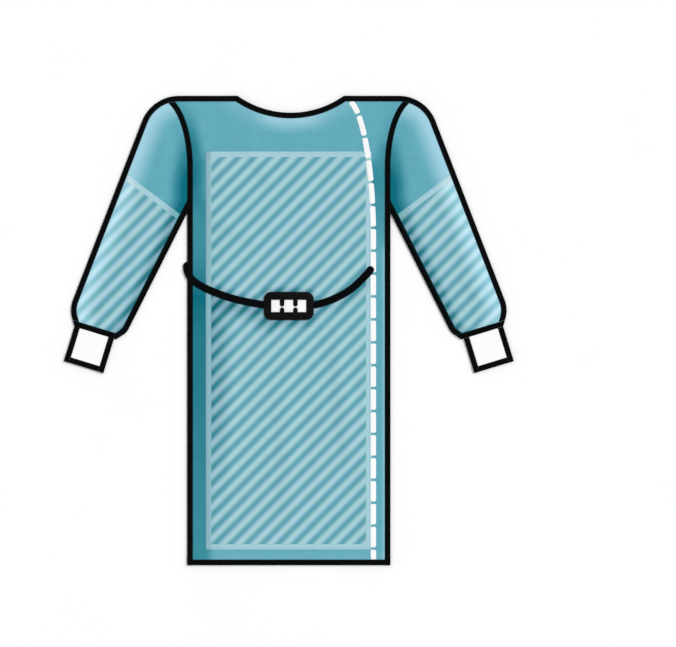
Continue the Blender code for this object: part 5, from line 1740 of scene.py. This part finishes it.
def plate(name, node, loops, low, thickness, material, slot, rounding):
    """A flat plate between its outline and its holes, with rounded edges."""
    corners = [point for loop in loops for point in loop]
    count = len(corners)
    faces = triangles_over(*loops)
    faces += [tuple(count + k for k in face) for face in turned_over(faces)]
    start = 0
    for loop in loops:
        for k in range(len(loop)):
            a, b = start + k, start + (k + 1) % len(loop)
            faces += [(a, b, count + b), (a, count + b, count + a)]
        start += len(loop)
    points = [(x, y, z) for z in (low, low + thickness) for x, y in corners]
    piece = made(name, points, faces, material)
    body = bmesh.new()
    body.from_mesh(piece.data)
    flat = [e for e in body.edges if e.calc_face_angle(0) < FLAT_ANGLE]
    bmesh.ops.recalc_face_normals(body, faces=body.faces)
    bmesh.ops.dissolve_edges(body, edges=[e for e in flat if len(loops) == 1], use_verts=False)
    level = [e for e in body.edges if abs(e.verts[0].co.z - e.verts[1].co.z) < 1e-6]
    rims = [e for e in level if e.calc_face_angle(0) > RIM_ANGLE]
    bmesh.ops.bevel(body, geom=rims, offset=rounding, segments=3, profile=0.5, affect="EDGES")
    body.to_mesh(piece.data)
    body.free()
    piece.data.shade_smooth()
    piece.data.set_sharp_from_angle(angle=CARD_SHARP_ANGLE)
    ridden(piece, slot, node)


def dress_card():
    """The tie card over both belt ends, and its slotted frame."""
    outline = rounded_rectangle(*CARD_SIZE, CARD_CORNER, (0, CARD_Y))
    for name, node, loops, wall, material, slot, rounding in (
        ("tie_card", "card", [outline], CARD_WALL, "card", "white_card", CARD_ROUND),
        (
            "tie_card_frame", "card_frame", [outline, window_outline()], FRAME_WALL, "plastic",
            "black_plastic", FRAME_ROUND,
        ),
    ):
        plate(name, node, loops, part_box(node)[0][2], wall, MATERIALS[material], slot, rounding)


# ---- stage --------------------------------------------------------------------------------------
VIEW_WIDTH = 1.8017     # what the camera sees across, at the surface that the gown lies on
VIEW_MIDDLE = (0.1309, 0.0186)
CAMERA_HEIGHT = 6.0
SENSOR = 36.0
FLOOR_HALF = 30.0
FLOOR_DROP = 0.0005
SKY_STRENGTH = 0.62
KEY_STRENGTH, KEY_SOFTNESS, KEY_TILT, KEY_TURN = 1.58, 24.0, 38.0, 118.0     # degrees, past the first


def studio():
    """A pale floor, an even bright sky and one soft light from the upper right."""
    scene = bpy.context.scene
    turns = ((-1, -1), (1, -1), (1, 1), (-1, 1))
    corners = [(x * FLOOR_HALF, y * FLOOR_HALF, -FLOOR_DROP) for x, y in turns]
    made("floor", corners, [(0, 1, 2, 3)], studio_floor())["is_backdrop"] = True

    world = bpy.data.worlds.new("studio sky")
    world.use_nodes = True
    sky = world.node_tree.nodes["Background"].inputs
    sky["Color"].default_value = (1.0, 1.0, 1.0, 1.0)
    sky["Strength"].default_value = SKY_STRENGTH
    scene.world = world

    light = bpy.data.lights.new("soft key", "SUN")
    light.energy = KEY_STRENGTH
    light.angle = math.radians(KEY_SOFTNESS)
    key = in_scene("soft key", light)
    key.rotation_euler = (math.radians(KEY_TILT), 0, math.radians(KEY_TURN))

    lens = bpy.data.cameras.new("overhead")
    lens.sensor_width = SENSOR
    lens.lens = SENSOR * CAMERA_HEIGHT / VIEW_WIDTH
    lens.clip_end = 100.0
    camera = in_scene("overhead", lens)
    camera.location = (*VIEW_MIDDLE, CAMERA_HEIGHT)
    scene.camera = camera
    scene.view_settings.view_transform = "Standard"
    scene.view_settings.look = "None"


# ---- the gown -----------------------------------------------------------------------------------
def dress_gown():
    front, patch, plan, heights, neck = dress_front()
    dress_backs()
    left_binding = bind_sides_and_hem()
    bind_neck_and_shoulders(plan, heights, neck)
    for label, side in SIDES:
        sleeve, sleeve_grid, places = dress_sleeve(label, side)
        bind_sleeve(label, side, sleeve_grid, places)
        tape_armhole(label, side, surface_of([front, sleeve]))
        tape_cuff_seam(label, side)
        dress_cuff(label, side)
    tacking = tack_overlap([front, patch])
    dress_ties([front, patch, tacking, left_binding])
    dress_card()
    tree = stitch_tree()
    sew("binding_stitches", SEWN["binding"], MATERIALS["black thread"], "black_binding", tree)
    sew("patch_stitches", SEWN["patch"], MATERIALS["blue thread"], "patch_cloth", tree)


dress_gown()
studio()
boxes = {"cad": CAD_BOX, "visual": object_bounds()}
{name: [list(corner) for corner in box] for name, box in boxes.items()}
